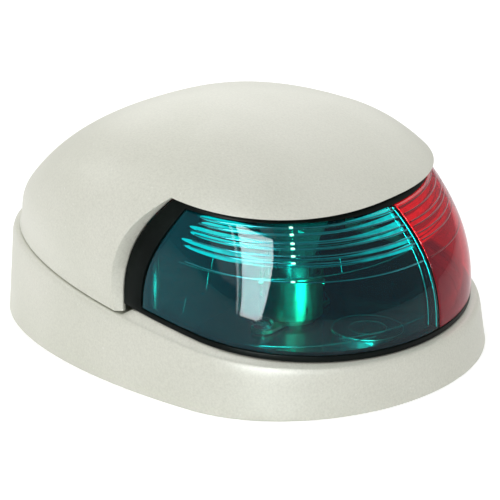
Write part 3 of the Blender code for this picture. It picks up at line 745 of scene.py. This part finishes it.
def hood_point(a, u, thinner):
    """A point of the dome at bearing a, from the rim at u = 0 to the crown at u = 1."""
    half = (HOOD_HALF_WIDTH - thinner) * swell(u, SIDE_POWER, SIDE_SWELL)
    bow = CROWN_X + (HOOD_BOW_X - thinner - CROWN_X) * swell(u, BOW_POWER, BOW_SWELL)
    stern = CROWN_X + (HOOD_STERN_X + thinner - CROWN_X) * swell(u, STERN_POWER, STERN_SWELL)
    widest = WIDEST_X + (CROWN_WIDEST_X - WIDEST_X) * u
    widest = min(max(widest, stern + 0.4 * (bow - stern)), bow - 0.25 * (bow - stern))
    slope = RIM_SLOPE + (CROWN_SLOPE - RIM_SLOPE) * u
    level = RIM_Z + HOOD_SEAM + (CROWN_Z - thinner - RIM_Z - HOOD_SEAM) * u
    low, high = HOOD_SQUARENESS
    grow = 2.0 / (low + (high - low) * smooth_step(u / SQUARE_BY))
    c, s = math.cos(a), math.sin(a)
    reach = bow - widest if c > 0 else widest - stern
    x = widest + math.copysign(reach * abs(c) ** grow, c)
    y = math.copysign(half * abs(s) ** grow, s)
    return x, y, level + slope * x


def bisect(low, high, test, rounds=46):
    """The value between low and high where test turns from false to true."""
    for _ in range(rounds):
        middle = 0.5 * (low + high)
        if test(middle):
            high = middle
        else:
            low = middle
    return 0.5 * (low + high)


def opening_share(z):
    low, high = seat_z(OPENING_BOTTOM_X), visor_z(OPENING_TOP_X)
    return min(max((z - low) / (high - low), 0.0), 1.0)


def opening_x(z):
    """The rear edge of the lens opening, moved aft by the reveal, least at the top."""
    v = opening_share(z)
    edge = OPENING_BOTTOM_X + (OPENING_TOP_X - OPENING_BOTTOM_X) * v ** LEAN_POWER - GAP
    return edge - REVEAL * (1.0 - v ** 3)


class HoodSkin:
    """One face of the hood as two grids that share an edge: the flanks, and crown with visor."""

    def __init__(self, thinner, flank_rows=44, back_columns=150, front_columns=90, crown_rows=60):
        self.thinner = thinner
        self.corner_u = bisect(0.0, 0.97, self.above_visor_at_edge)
        self.flank = []
        for k in range(flank_rows + 1):
            self.flank.append(self.flank_row(self.corner_u * k / flank_rows, back_columns))
        corner = self.edge_bearing(self.corner_u)
        self.columns = []
        for k in range(back_columns + 1):
            bearing = corner + (math.tau - 2.0 * corner) * k / back_columns
            self.columns.append(self.column(bearing, self.corner_u, crown_rows))
        for k in range(1, front_columns):
            bearing = -corner + 2.0 * corner * k / front_columns
            self.columns.append(self.column(bearing, self.visor_u(bearing), crown_rows))

    def point(self, a, u):
        return hood_point(a, u, self.thinner)

    def edge_bearing(self, u):
        def behind(a):
            x, _, z = self.point(a, u)
            return x < opening_x(z)
        return bisect(0.0, math.pi, behind)

    def above_visor_at_edge(self, u):
        x, _, z = self.point(self.edge_bearing(u), u)
        return z > visor_z(x)

    def visor_u(self, a):
        def above(u):
            x, _, z = self.point(a, u)
            return z > visor_z(x)
        return bisect(0.0, 1.0, above)

    def flank_row(self, u, columns):
        edge = self.edge_bearing(u)
        return [self.point(edge + (math.tau - 2.0 * edge) * k / columns, u) for k in range(columns + 1)]

    def column(self, bearing, foot, rows):
        start = math.sqrt(1.0 - foot)
        return [self.point(bearing, 1.0 - (start * (1.0 - k / rows)) ** 2) for k in range(rows + 1)]

    def border(self):
        """The skin's closed edge: round the rim, up to port, along the visor and down again."""
        rim = self.flank[0]
        port = [row[-1] for row in self.flank[1:]]
        back = len(self.flank[0])
        visor = [column[0] for column in self.columns[back:]]
        starboard = [row[0] for row in reversed(self.flank[1:])]
        return rim + port + visor + starboard

    def flank_share(self):
        """How far each border point belongs to the opening's rear edges: 1 on them, 0 away."""
        back, climb = len(self.flank[0]), len(self.flank) - 1
        fade = [smooth_step((climb - k) / (0.10 * climb)) for k in range(1, climb + 1)]
        rim = [smooth_step(1.0 - min(k, back - 1 - k) / 5.0) for k in range(back)]
        return rim + fade + [0.0] * (len(self.columns) - back) + fade[::-1]

    def grids(self):
        around = self.columns + [self.columns[0]]
        return [self.flank, around]


def make_hood(finish):
    """Outer and inner skins joined by a lip, which turns in beside the lens frame."""
    outer, inner = HoodSkin(0.0), HoodSkin(HOOD_WALL)
    points, faces = [], []
    for skin in (outer, inner):
        for grid in skin.grids():
            faces += grid_faces(len(grid), len(grid[0]), len(points))
            points += flat(grid)
    lip = [[], [], [], []]
    for o, i, share in zip(outer.border(), inner.border(), outer.flank_share()):
        lip[0].append(o)
        lip[3].append(i)
        v = opening_share(o[2])
        frame_x, frame_y, _ = lens_point(1.0, v, 0.0)
        for ring, depth in ((1, 0.0), (2, FLANGE_DEPTH)):
            t = ring / 3.0
            plain = [a + (b - a) * t for a, b in zip(o, i)]
            turned_in = (frame_x - GAP, math.copysign(frame_y - depth, o[1]), o[2])
            lip[ring].append(tuple(p + (q - p) * share for p, q in zip(plain, turned_in)))
    faces += ring_faces(len(lip), len(lip[0]), first=len(points))
    hood = made("hood_cover", points + flat(lip), faces, finish)
    softened(hood, 0.45, 32.0, 3)
    half, arm_z = ARM_WIDTH / 2, (ARM_FOOT_Z, ARM_ROOT_Z[1] - 0.5)
    for sign in (STARBOARD, PORT):
        join(hood, side_block("root", ARM_X, half + 0.2, sign, ARM_ROOT, ARM_ROOT_Z, finish))
        join(hood, side_block("arm", ARM_X, half, sign, ARM_Y, arm_z, finish))
    return finished(hood, 50.0)


# Lens, its frame and its rings.

def lens_point(s, v, inset):
    """A point of the lens wall. s sweeps from starboard rear to port rear, v climbs."""
    a, b = s * FOOT_ANGLE, s * HEAD_ANGLE
    reach = LENS_FOOT[0] if math.cos(a) > 0 else LENS_FOOT[2]
    foot = (WIDEST_X + (reach - inset) * math.cos(a), (LENS_FOOT[1] - inset) * math.sin(a))
    head = (LENS_HEAD_X + (LENS_HEAD[0] - inset) * math.cos(b), (LENS_HEAD[1] - inset) * math.sin(b))
    lean = v ** LEAN_POWER
    low, high = seat_z(foot[0]) + GAP, visor_z(head[0]) - 0.4
    x = foot[0] + (head[0] - foot[0]) * lean
    y = foot[1] + (head[1] - foot[1]) * lean
    return x, y, low + (high - low) * v


def point_on_side(side, s, v, inset):
    """The same point on the half of that side, for s from 0 at the seam to 1 at the rear."""
    x, y, z = lens_point(s, v, inset)
    return x, side * y, z


def post_edge(v):
    foot, head = FRAME_POST
    return 1.0 - foot - (head - foot) * v ** LEAN_POWER


def make_frame(finish, sweep=120, climb=40):
    outer, inner = [], []

    def post(sign, values):
        for v in values:
            w = FRAME_FOOT + (FRAME_HEAD - FRAME_FOOT) * v
            outer.append((sign, v))
            inner.append((sign * post_edge(w), w))

    for k in range(sweep):
        s = -1.0 + 2.0 * k / sweep
        outer.append((s, 0.0))
        inner.append((s * post_edge(FRAME_FOOT), FRAME_FOOT))
    post(1.0, [k / climb for k in range(climb)])
    for k in range(sweep):
        s = 1.0 - 2.0 * k / sweep
        outer.append((s, 1.0))
        inner.append((s * post_edge(FRAME_HEAD), FRAME_HEAD))
    post(-1.0, [1.0 - k / climb for k in range(climb)])
    points = []
    for o, i in zip(outer, inner):
        points += [lens_point(*o, 0.0), lens_point(*i, 0.0)]
        points += [lens_point(*i, FRAME_WALL), lens_point(*o, FRAME_WALL)]
    ring = made("lens_frame_rim", points, ring_faces(len(outer), 4, closed=True), finish)
    return softened(ring, 0.22, 40.0, 2)


def sheet(name, outer, inner, finish):
    """A curved wall between two grids of points."""
    rows, columns = len(outer), len(outer[0])
    back = rows * columns
    faces = []
    for front, rear in zip(grid_faces(rows, columns), grid_faces(rows, columns, back)):
        faces += [front, rear[::-1]]
    border = list(range(columns))
    border += [r * columns + columns - 1 for r in range(1, rows)]
    border += [(rows - 1) * columns + c for c in range(columns - 2, -1, -1)]
    border += [r * columns for r in range(rows - 2, 0, -1)]
    for k, a in enumerate(border):
        b = border[(k + 1) % len(border)]
        faces.append((a, back + a, back + b, b))
    return made(name, flat(outer) + flat(inner), faces, finish)


def lens_level(share):
    """A height on the lens, from its foot at 0 to its head at 1."""
    return FRAME_FOOT + LENS_SLACK + (FRAME_HEAD - FRAME_FOOT - 2.0 * LENS_SLACK) * share


def make_lens(name, side, finish, sweep=80, climb=44):
    grids = []
    for inset in (0.0, LENS_WALL):
        grid = []
        for r in range(climb + 1):
            v = lens_level(r / climb)
            row = []
            for c in range(sweep + 1):
                share = c / sweep
                x, y, z = lens_point(share * (post_edge(v) - 0.005), v, inset)
                row.append((x, side * (y + (SEAM_HALF + GAP) * (1.0 - share)), z))
            grid.append(row)
        grids.append(grid)
    return softened(sheet(name, grids[0], grids[1], finish), 0.15, 40.0, 2)


def make_seam(finish, climb=40):
    rings = []
    for r in range(climb + 1):
        v = lens_level(r / climb)
        out, back = lens_point(0.0, v, 0.0), lens_point(0.0, v, LENS_WALL)
        rings.append([(out[0], -SEAM_HALF, out[2]), (out[0], SEAM_HALF, out[2]),
                      (back[0], SEAM_HALF, back[2]), (back[0], -SEAM_HALF, back[2])])
    return stacked("lens_joint", rings, finish)


BAND_CENTRES = (0.907, 0.866, 0.815, 0.774, 0.706, 0.662)
BAND_HALF = 0.0155
BAND_REACH = (0.975, 0.962, 0.995, 0.985, 1.0, 0.985)   # share of the sweep where each band ends
# The glow of the prism rings is painted light; BAND_FADE sets where its part by the seam fades.
BAND_FADE = {STARBOARD: 0.34, PORT: 0.95}       # share of the sweep where the light by the seam fades
BAND_START = 0.012
BAND_STANDS = (LENS_WALL + 0.06, LENS_WALL + 0.30)
# Thin lines on the lens' inner face: (share, height) where each starts and ends.
LONG_LINES = (
    ((BAND_START, 0.642), (0.985, 0.522)), ((BAND_START, 0.907), (0.99, 0.907)),
    ((BAND_START, 0.786), (0.99, 0.786)), ((BAND_START, 0.658), (0.99, 0.660)),
    ((BAND_START, 0.152), (0.40, 0.137)), ((0.26, 0.117), (0.68, 0.062)))
# Upright lines: share, and the heights where each starts and ends.
SHORT_LINES = (
    (0.88, 0.640, 0.555), (0.895, 0.521, 0.397), (0.955, 0.261, 0.137), (0.36, 0.700, 0.607))
GLINT_HEIGHTS = (0.930, 0.886, 0.831, 0.799, 0.751, 0.705, 0.583)
# Half length, depth and radius of the wires that one glint is made of.
GLINT_LAYERS = ((0.012, 0.14, 0.20), (0.008, 0.18, 0.30), (0.004, 0.20, 0.36))


def ring_span(v):
    return 0.985 * (post_edge(v) - 0.02)


def make_ring_bands(name, side, finish, sweep=110):
    """The flats of the prism rings: thin strips inside the lens with an attribute for their painted glow."""
    points, faces, painted_glow = [], [], []
    near, deep = BAND_STANDS
    for middle, stop in zip(BAND_CENTRES, BAND_REACH):
        first = len(points)
        for c in range(sweep + 1):
            share = BAND_START + (stop - BAND_START) * c / sweep
            by_seam = 0.8 * max(1.0 - share / BAND_FADE[side], 0.0) ** 0.9
            ends = by_seam + min(max((share - 0.66) / 0.20, 0.0), 1.0)
            tip = math.sqrt(max(1.0 - max((share - stop + 0.05) / 0.05, 0.0) ** 2, 0.03))
            half = BAND_HALF * (0.16 + 0.84 * smooth_step(ends * 1.3)) * tip
            high, low = middle + half, middle - half
            for v, inset in ((high, near), (low, near), (low, deep), (high, deep)):
                points.append(point_on_side(side, share * ring_span(v), v, inset))
                painted_glow.append(min(0.10 + ends, 1.0))
        faces += ring_faces(sweep + 1, 4, first=first)
        last = first + sweep * 4
        faces += [(first + 3, first + 2, first + 1, first), (last, last + 1, last + 2, last + 3)]
    mesh = bpy.data.meshes.new(name)
    mesh.from_pydata([Vector(p) * MM for p in points], [], faces)
    mesh.attributes.new("painted_glow", "FLOAT", "POINT").data.foreach_set("value", painted_glow)
    work = bmesh.new()
    work.from_mesh(mesh)
    bmesh.ops.recalc_face_normals(work, faces=work.faces)
    work.to_mesh(mesh)
    work.free()
    mesh.materials.append(finish)
    smooth(mesh, 30.0)
    return linked(name, mesh)


def line_on_lens(side, start, end, inset, steps=90):
    """A path on the lens wall between two (share of the sweep, height) points."""
    path = []
    for c in range(steps + 1):
        t = c / steps
        share, v = start[0] + (end[0] - start[0]) * t, start[1] + (end[1] - start[1]) * t
        path.append(point_on_side(side, share * ring_span(v), v, inset))
    return path


def make_beads(name, side, finish):
    """Fine polished lines along the prism edges and across the foot of the lens."""
    inset = LENS_WALL + 0.32
    paths = [line_on_lens(side, start, end, inset) for start, end in LONG_LINES]
    for middle in BAND_CENTRES:
        low = middle - BAND_HALF * 0.8
        paths.append(line_on_lens(side, (BAND_START, low), (0.96, low), inset))
    for share, high, low in SHORT_LINES:
        start, end = (share, high), (share + 0.004, low)
        paths.append(line_on_lens(side, start, end, LENS_WALL + 0.15, 16))
    return wires(name, paths, 0.13, finish, 8)


def make_glints(name, side, finish):
    """Painted glints: short glowing spots, one on each ridge, in line with the bulb as seen from abeam."""
    parts = []
    for half, inset, radius in GLINT_LAYERS:
        paths = []
        for v in GLINT_HEIGHTS:
            share = (0.512 - 0.075 * max(v - GLINT_HEIGHTS[-1], 0.0)) / ring_span(v)
            paths.append(line_on_lens(side, (share - half, v), (share + half, v), inset, 6))
        parts.append(wires(name + "_layer", paths, radius, finish, 12))
    work = bmesh.new()
    for part in parts:
        work.from_mesh(part.data)
        bpy.data.objects.remove(part, do_unlink=True)
    mesh = bpy.data.meshes.new(name)
    work.to_mesh(mesh)
    work.free()
    mesh.materials.append(finish)
    smooth(mesh)
    return linked(name, mesh)


def make_outer_beads(name, side, finish):
    """Slight ridges on the outer face over each prism, which break up a reflection."""
    paths = [line_on_lens(side, (0.02, v), (0.96, v), 0.10) for v in GLINT_HEIGHTS]
    return wires(name, paths, 0.20, finish, 12)


def make_joint_beads(name, side, finish):
    """Two upright polished lines where each lens half ends at the seam."""
    paths = []
    for aside, inset in ((0.85, 0.5), (1.75, LENS_WALL + 0.1)):
        path = []
        for r in range(41):
            v = 0.07 + 0.87 * r / 40
            x, _, z = lens_point(0.0, v, inset)
            path.append((x, side * aside, z))
        paths.append(path)
    return wires(name, paths, 0.16, finish, 8)


# Tray.

def tray_outline(inset, rear_shift, steps=150, rear=50):
    """Points of the tray's plan as (x, y, whether it is on the rear wall)."""
    end_x, end_y = TRAY_END[0], TRAY_END[1] - rear_shift
    limit = math.acos((end_x - WIDEST_X) / (HALF_LENGTH + WIDEST_X - inset[2]))
    points = []
    for k in range(steps + 1):
        x, y = egg_point(-limit + 2.0 * limit * k / steps, inset)
        points.append((x, y, False))
    rise = end_x - TRAY_REAR_X
    for k in range(1, rear):
        t = 1.0 - 2.0 * k / rear
        points.append((end_x - rise * (1.0 - t * t) + rear_shift, end_y * t, True))
    return points


def make_tray(finish):
    outer = tray_outline(TRAY_INSET, 0.0)
    inner = tray_outline(tuple(v + TRAY_WALL for v in TRAY_INSET), TRAY_WALL)

    def top(x, rear):
        return visor_z(x) - 4.0 if rear else rim_z(x) - 0.6

    under, floor = TRAY_FLOOR
    rings = [[(x, y, under) for x, y, _ in outer], [(x, y, top(x, rear)) for x, y, rear in outer],
             [(x, y, top(x, rear)) for x, y, rear in inner], [(x, y, floor) for x, y, _ in inner]]
    tray = stacked("chamber_tray", rings, finish)
    collar = rod("collar", (FRONT_FIXING_X, 0.0, under + 0.5), (FRONT_FIXING_X, 0.0, COLLAR_TOP_Z),
                 COLLAR_RADIUS, finish, 72, edge=0.5)
    join(tray, collar)
    drill(tray, FRONT_FIXING_X, 0.0, COLLAR_BORE, BORE_FOOT_Z, 12.0)
    drill(tray, FRONT_FIXING_X, 0.0, FIXING_HOLE, under - 1.0, DRILL_HEAD_Z)
    drill(tray, BULB_X, 0.0, BARREL_RADIUS + 0.5, under - 1.0, DRILL_HEAD_Z)
    drill_ears(tray, under - 1.0, DRILL_HEAD_Z)
    return finished(tray, 35.0)


def make_collar_line(finish):
    """Glossy lines on the edges of the front fixing's collar, in a lighter grey than the collar: a painted
    highlight.
    """
    paths = []
    for radius in (COLLAR_RADIUS - 0.25, COLLAR_BORE + 0.25):
        paths.append([(FRONT_FIXING_X + x, y, COLLAR_TOP_Z + 0.02) for x, y in circle(radius, 80)])
    return wires("collar_edges", paths, 0.11, finish, 8, closed=True)


# Socket and bulb.

def sector(low_deg, high_deg, z0, z1, finish, steps=12):
    """A cutter for the socket's slots, between two bearings and two heights."""
    near, far = SHELL_RADIUS - 2.0, SHELL_RADIUS + 2.0
    rings = []
    for k in range(steps + 1):
        a = math.radians(low_deg + (high_deg - low_deg) * k / steps)
        c, s = math.cos(a), math.sin(a)
        rings.append([(BULB_X + near * c, near * s, z0), (BULB_X + far * c, far * s, z0),
                      (BULB_X + far * c, far * s, z1), (BULB_X + near * c, near * s, z1)])
    return stacked("slot", rings, finish)


def make_socket(finish):
    r, w = SHELL_RADIUS, SHELL_WALL
    shell = turned("socket_sleeve", [
        (BARREL_RADIUS - w, BARREL_FOOT_Z), (BARREL_RADIUS, BARREL_FOOT_Z), (BARREL_RADIUS, SHELL_STEP_Z),
        (r - 0.3, SHELL_STEP_Z), (r, SHELL_STEP_Z + 0.3), (r, SHELL_MOUTH_Z - 0.1), (r - 0.1, SHELL_MOUTH_Z),
        (r - w + 0.1, SHELL_MOUTH_Z), (r - w, SHELL_MOUTH_Z - 0.1), (r - w, SHELL_STEP_Z + w),
        (BARREL_RADIUS - w, SHELL_STEP_Z + w)], finish, steps=96, closed=True)
    ear_y = (BARREL_RADIUS - 0.3, EAR_SPAN)
    for sign in (STARBOARD, PORT):
        y, (low, high) = sign * EAR_SPAN, EAR_Z
        join(shell, side_block("ear", BULB_X, EAR_RADIUS, sign, ear_y, EAR_Z, finish))
        join(shell, rod("ear_tip", (BULB_X, y, low), (BULB_X, y, high), EAR_RADIUS, finish, 48))
        drill(shell, BULB_X, y, EAR_HOLE, low - 1.0, high + 1.0)
    half = math.degrees((PIN_RADIUS + GAP) / (SHELL_RADIUS - SHELL_WALL))
    foot, head = PIN_Z - PIN_RADIUS - PUSH - GAP, PIN_Z + PIN_RADIUS + GAP
    for start in (PIN_BEARING, PIN_BEARING + 180.0):
        stop = start + BULB_TURN
        cut(shell, sector(start - half, stop + half, foot, head, finish))
        cut(shell, sector(stop - half, stop + half, PIN_Z, SHELL_MOUTH_Z + 1.0, finish))
    return finished(shell, 35.0)


def arc(radius, low, high, steps):
    """(radius, height) pairs along the globe between two angles above its middle."""
    angles = [math.radians(low + (high - low) * k / steps) for k in range(steps + 1)]
    return [(radius * math.cos(a), GLOBE_Z + radius * math.sin(a)) for a in angles]


def make_globe(finish):
    neck, wall, foot = NECK_RADIUS, GLASS_WALL, NECK_FOOT_Z
    outer = [(neck - 0.2, foot), (neck, foot + 0.2), (neck, 24.4)]
    outer += [(neck + 0.12, 25.3), (neck + 0.45, 26.3)]
    outer += arc(GLOBE_RADIUS, -38.0, 88.0, 30) + [(0.0, GLOBE_Z + GLOBE_RADIUS)]
    inner = [(0.0, GLOBE_Z + GLOBE_RADIUS - wall)] + arc(GLOBE_RADIUS - wall, 88.0, -38.0, 30)
    inner += [(neck + 0.4 - wall, 26.5), (neck - wall, 24.6), (neck - wall, foot + 0.2)]
    return turned("bulb_globe", outer + inner, finish, steps=72, closed=True, angle=50.0)


def make_cap(finish):
    r = CAP_RADIUS
    return turned("bulb_cap", [
        (r - 0.4, 10.0), (r - 0.15, 10.0), (r, 10.2), (r, 13.6), (r - 0.12, 13.75), (r, 13.9),
        (r, 22.6), (r - 0.1, 23.1), (r - 0.4, 24.0), (r - 0.8, 24.0), (r - 0.45, 22.8)],
        finish, steps=96, closed=True)


def make_pins(finish):
    pins = []
    side = math.radians(PIN_BEARING)
    for label, sign in (("a", 1.0), ("b", -1.0)):
        c, s = sign * math.cos(side), sign * math.sin(side)
        near = CAP_RADIUS + 0.05
        pins.append(rod("cap_pin_" + label, (BULB_X + near * c, near * s, PIN_Z),
                        (BULB_X + PIN_REACH * c, PIN_REACH * s, PIN_Z), PIN_RADIUS, finish, 32, edge=0.18))
    return pins


def make_filament(finish):
    """A fine coil bowed between the supports, inside the rod's outline of the frame."""
    cross = math.radians(PIN_BEARING + 90.0)
    turns, per_turn, coil = 26, 14, 0.24
    path = []
    for k in range(turns * per_turn + 1):
        share = k / (turns * per_turn)
        t = -1.0 + 2.0 * share
        a = math.tau * k / per_turn
        across, up = coil * math.cos(a), coil * math.sin(a)
        reach = FILAMENT_REACH * t
        path.append((BULB_X + reach * math.cos(cross) - across * math.sin(cross),
                     reach * math.sin(cross) + across * math.cos(cross),
                     FILAMENT_Z + FILAMENT_ARCH * (1.0 - t * t) + up))
    return wires("filament_coil", [path], 0.045, finish, 6)


def make_spring(finish):
    upright = path_mesh([[(0.0, 0.0, 0.0), (0.0, 0.0, 1.0)]])
    return SPRINGS.run("contact_spring", upright, 60.0, Radius=SPRING_RADIUS * MM, Turns=3.5,
                       Height=SPRING_HEIGHT * MM, Wire=0.24 * MM, Finish=finish,
                       Centre=Vector((BULB_X, 0.0, SPRING_FOOT_Z)) * MM)


# Build.

SHELL = shell_plastic()
BLACK = black_plastic("black_plastic")
TRAY = black_plastic("chamber_black", (0.016, 0.020, 0.024), (0.12, 0.22), 0.6)
# The rear and bow tones of each lens plastic are painted light and shade along the lens.
GREEN = clear_plastic("green_lens_plastic", (0.06, 0.86, 0.82), (0.04, 0.80, 0.80),
                      rear=(0.0, 0.150, 0.210), bow=(0.004, 0.026, 0.050), body=0.20)
RED = clear_plastic("red_lens_plastic", (0.86, 0.12, 0.16), (0.80, 0.08, 0.13),
                    rear=(0.34, 0.030, 0.06), bow=(0.44, 0.034, 0.07), body=0.26)
# Painted glow on the prism facets: they emit light though they are no lamp.
GREEN_RING_GLOW = ring_glow("green_ring_facets", (0.0, 0.03, 0.05), (0.02, 0.80, 0.84), 1.5)
RED_RING_GLOW = ring_glow("red_ring_facets", (0.10, 0.0, 0.004), (1.0, 0.09, 0.08), 1.1)
GREEN_RIDGE = bead_shine("green_ridge_shine", (0.03, 0.26, 0.29))
RED_RIDGE = bead_shine("red_ridge_shine", (0.16, 0.0, 0.006))
# Painted glints: small spots that emit light though they are no lamp.
GLINT = glow("prism_glint", (0.62, 0.98, 0.80), 0.85)
# Painted highlight: the collar's edge lines are a lighter grey than the black collar, with real gloss on
# top.
COLLAR_EDGE_HIGHLIGHT = black_plastic("collar_edge", (0.16, 0.18, 0.18), (0.15, 0.25), 0.8)
GREEN_BEADS = bead_shine("green_ring_edges", (0.30, 1.0, 1.0))
RED_BEADS = bead_shine("red_ring_edges", (1.0, 0.22, 0.22))
PLATE = metal("nickel_plate", (0.66, 0.62, 0.50), (0.88, 0.84, 0.72), (0.16, 0.32),
              scratch_mm=1.6, depth=0.004)
BRASS = metal("tinned_brass", (0.60, 0.54, 0.34), (0.86, 0.80, 0.58), (0.26, 0.46),
              scratch_mm=1.6, depth=0.004)
STEEL = metal("stainless_steel", (0.50, 0.50, 0.50), (0.70, 0.70, 0.70), (0.16, 0.34),
              stretch=(0.15, 1.0, 1.0))
SOLDER = metal("solder", (0.42, 0.43, 0.45), (0.66, 0.66, 0.68), (0.3, 0.5), scratch_mm=0.5)
TUNGSTEN = metal("tungsten", (0.25, 0.24, 0.23), (0.42, 0.40, 0.37), (0.3, 0.5))
GLASS = blown_glass()
FOAM = dull("gasket_foam", (0.014, 0.014, 0.015), (0.032, 0.032, 0.033), 0.7, (0.85, 0.98), 0.12)
BAKELITE = dull("insulating_plastic", (0.035, 0.020, 0.013), (0.070, 0.042, 0.028), 1.2,
                (0.35, 0.55), 0.02)


def place(item, body, slot, *nodes):
    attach(item, body)
    if nodes:
        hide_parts(*nodes)


def place_pair(make, label, green, red):
    """A matching piece on each half of the lens."""
    place(make("green_" + label, STARBOARD, green), "lens_unit", "green_lens")
    place(make("red_" + label, PORT, red), "lens_unit", "red_lens")


place(make_base(SHELL), "base", "shell", "base_shell")
place(make_hood(SHELL), "hood_cover", "shell", "hood")
place(make_frame(BLACK), "lens_unit", "black_plastic", "lens_frame")
place(make_lens("lens_half_green", STARBOARD, GREEN), "lens_unit", "green_lens", "lens_green")
place(make_lens("lens_half_red", PORT, RED), "lens_unit", "red_lens", "lens_red")
place(make_seam(BLACK), "lens_unit", "black_plastic", "lens_seam")
place_pair(make_ring_bands, "prism_rings", GREEN_RING_GLOW, RED_RING_GLOW)
place_pair(make_beads, "ring_lines", GREEN_BEADS, RED_BEADS)
place_pair(make_outer_beads, "outer_ridges", GREEN_RIDGE, RED_RIDGE)
place(make_glints("green_glints", STARBOARD, GLINT), "lens_unit", "green_lens")
place_pair(make_joint_beads, "joint_lines", GREEN_BEADS, RED_BEADS)
place(make_tray(TRAY), "base", "black_plastic", "light_tray")
place(make_collar_line(COLLAR_EDGE_HIGHLIGHT), "base", "black_plastic")
place(make_socket(BRASS), "base", "socket_metal", "socket_shell")
spring = make_spring(STEEL)
place(spring, "base", "steel", "socket_spring")
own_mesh(spring)
place(make_globe(GLASS), "bulb", "bulb_glass", "bulb_glass")
place(make_cap(PLATE), "bulb", "bulb_metal", "bulb_base")
for pin, node in zip(make_pins(PLATE), ("bulb_pin_a", "bulb_pin_b")):
    place(pin, "bulb", "bulb_metal", node)
place(make_filament(TUNGSTEN), "bulb", "filament", "bulb_filament")

KEPT = {
    "deck_gasket": FOAM, "socket_plug": BAKELITE, "contact_disc": BAKELITE, "bulb_insulator": BAKELITE,
    "socket_screw_a": STEEL, "socket_screw_b": STEEL,
    "contact_stud_a": BRASS, "contact_stud_b": BRASS, "bulb_stem": GLASS,
    "bulb_contact_a": SOLDER, "bulb_contact_b": SOLDER, "bulb_support_a": PLATE, "bulb_support_b": PLATE,
}
for node, finish in KEPT.items():
    for material_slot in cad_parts[node].material_slots:
        material_slot.material = finish


# Studio.

def make_floor():
    f = Finish("studio_paper")
    f.set(Roughness=0.9, Base_Color=(0.93, 0.93, 0.93, 1.0), Emission_Color=(1.0, 1.0, 1.0, 1.0),
          Emission_Strength=0.22)
    mesh = bpy.data.meshes.new("studio_floor")
    far = 6.0
    corners = [(-far, -far, 0.0), (far, -far, 0.0), (far, far, 0.0), (-far, far, 0.0)]
    mesh.from_pydata(corners, [], [(0, 1, 2, 3)])
    mesh.materials.append(f.material)
    linked("studio_floor", mesh)


def aim(item, target):
    item.rotation_mode = "QUATERNION"
    item.rotation_quaternion = (Vector(target) - item.location).to_track_quat("-Z", "Y")


def panel(name, place_m, target_m, width, height, power, colour=(1.0, 1.0, 1.0)):
    light = bpy.data.lights.new(name, "AREA")
    light.shape = "RECTANGLE"
    light.size = width
    light.size_y = height
    light.energy = power
    light.color = colour
    item = linked(name, light)
    item.location = place_m
    aim(item, target_m)


WORLD_STRENGTH = 0.46
CARD_CENTRE = Vector((0.039, -0.045, 0.034))
CARD_MIDDLE = Vector((0.483, -0.562, 0.306))
CARD_ACROSS = Vector((0.342, 0.318, 0.164))
CARD_UP = Vector((0.172, 0.676, 0.971))
CARD_DISTANCE = 0.22


def sheen_card(name, middle, across, up, strength, steps=8):
    """A bright curved card, seen only in glossy surfaces, in these directions from its centre."""
    points = []
    for r in range(steps + 1):
        for c in range(steps + 1):
            way = middle + across * (c / steps - 0.5) + up * (r / steps - 0.5)
            points.append(CARD_CENTRE + way.normalized() * CARD_DISTANCE)
    mesh = bpy.data.meshes.new(name)
    mesh.from_pydata(points, [], grid_faces(steps + 1, steps + 1))
    f = Finish(name)
    f.set(Base_Color=(0.0, 0.0, 0.0, 1.0), Emission_Color=(0.93, 0.98, 1.0, 1.0),
          Emission_Strength=strength)
    mesh.materials.append(f.material)
    item = linked(name, mesh)
    item.visible_camera = False
    item.visible_diffuse = False
    item.visible_shadow = False


def make_studio():
    world = bpy.data.worlds.new("studio")
    bpy.context.scene.world = world
    world.use_nodes = True
    tree = world.node_tree
    back, seen = tree.nodes["Background"], tree.nodes.new("ShaderNodeBackground")
    for node, strength in ((back, WORLD_STRENGTH), (seen, 1.0)):
        node.inputs["Color"].default_value = (1.0, 1.0, 1.0, 1.0)
        node.inputs["Strength"].default_value = strength
    ray = tree.nodes.new("ShaderNodeLightPath")
    mix = tree.nodes.new("ShaderNodeMixShader")
    tree.links.new(ray.outputs["Is Camera Ray"], mix.inputs["Fac"])
    tree.links.new(back.outputs["Background"], mix.inputs[1])
    tree.links.new(seen.outputs["Background"], mix.inputs[2])
    tree.links.new(mix.outputs["Shader"], tree.nodes["World Output"].inputs["Surface"])
    target = (0.007, 0.0, 0.03)
    panel("softbox_left", (-0.75, -0.25, 0.55), target, 0.5, 0.5, 1.9)
    panel("softbox_front", (0.30, -0.80, 0.40), target, 0.5, 0.5, 1.1)
    panel("softbox_back", (-0.40, 0.75, 0.50), target, 0.9, 0.5, 2.9)
    panel("softbox_top", (0.10, -0.10, 0.85), target, 0.8, 0.8, 2.6)
    middle, across = CARD_MIDDLE, CARD_ACROSS
    sheen_card("tall_softbox", middle - across * 0.05, across * 0.82, CARD_UP, 26.0)
    sheen_card("softbox_edge", middle - across * 0.60, across * 0.08, CARD_UP * 0.86, 12.0)
    socket_front = (BULB_X * MM, -0.002, 0.011)
    panel("chamber_lamp", (0.049, -0.014, 0.0085), socket_front, 0.012, 0.004, 0.008, (1.0, 1.0, 0.85))


CAMERA_TARGET = (0.00681, 0.0, 0.02241)
CAMERA_AZIMUTH, CAMERA_ELEVATION = 35.42, 17.94
CAMERA_DISTANCE = 0.422
CAMERA_LENS = 113.5


def make_camera():
    camera = bpy.data.cameras.new("camera")
    camera.lens = CAMERA_LENS
    camera.sensor_width = 36.0
    camera.clip_start, camera.clip_end = 0.01, 50.0
    item = linked("camera", camera)
    a, e = math.radians(CAMERA_AZIMUTH), math.radians(CAMERA_ELEVATION)
    back = Vector((math.sin(a) * math.cos(e), -math.cos(a) * math.cos(e), math.sin(e)))
    item.location = Vector(CAMERA_TARGET) + back * CAMERA_DISTANCE
    aim(item, CAMERA_TARGET)
    bpy.context.scene.camera = item


make_floor()
make_studio()
make_camera()
bpy.context.scene.view_settings.view_transform = "Standard"
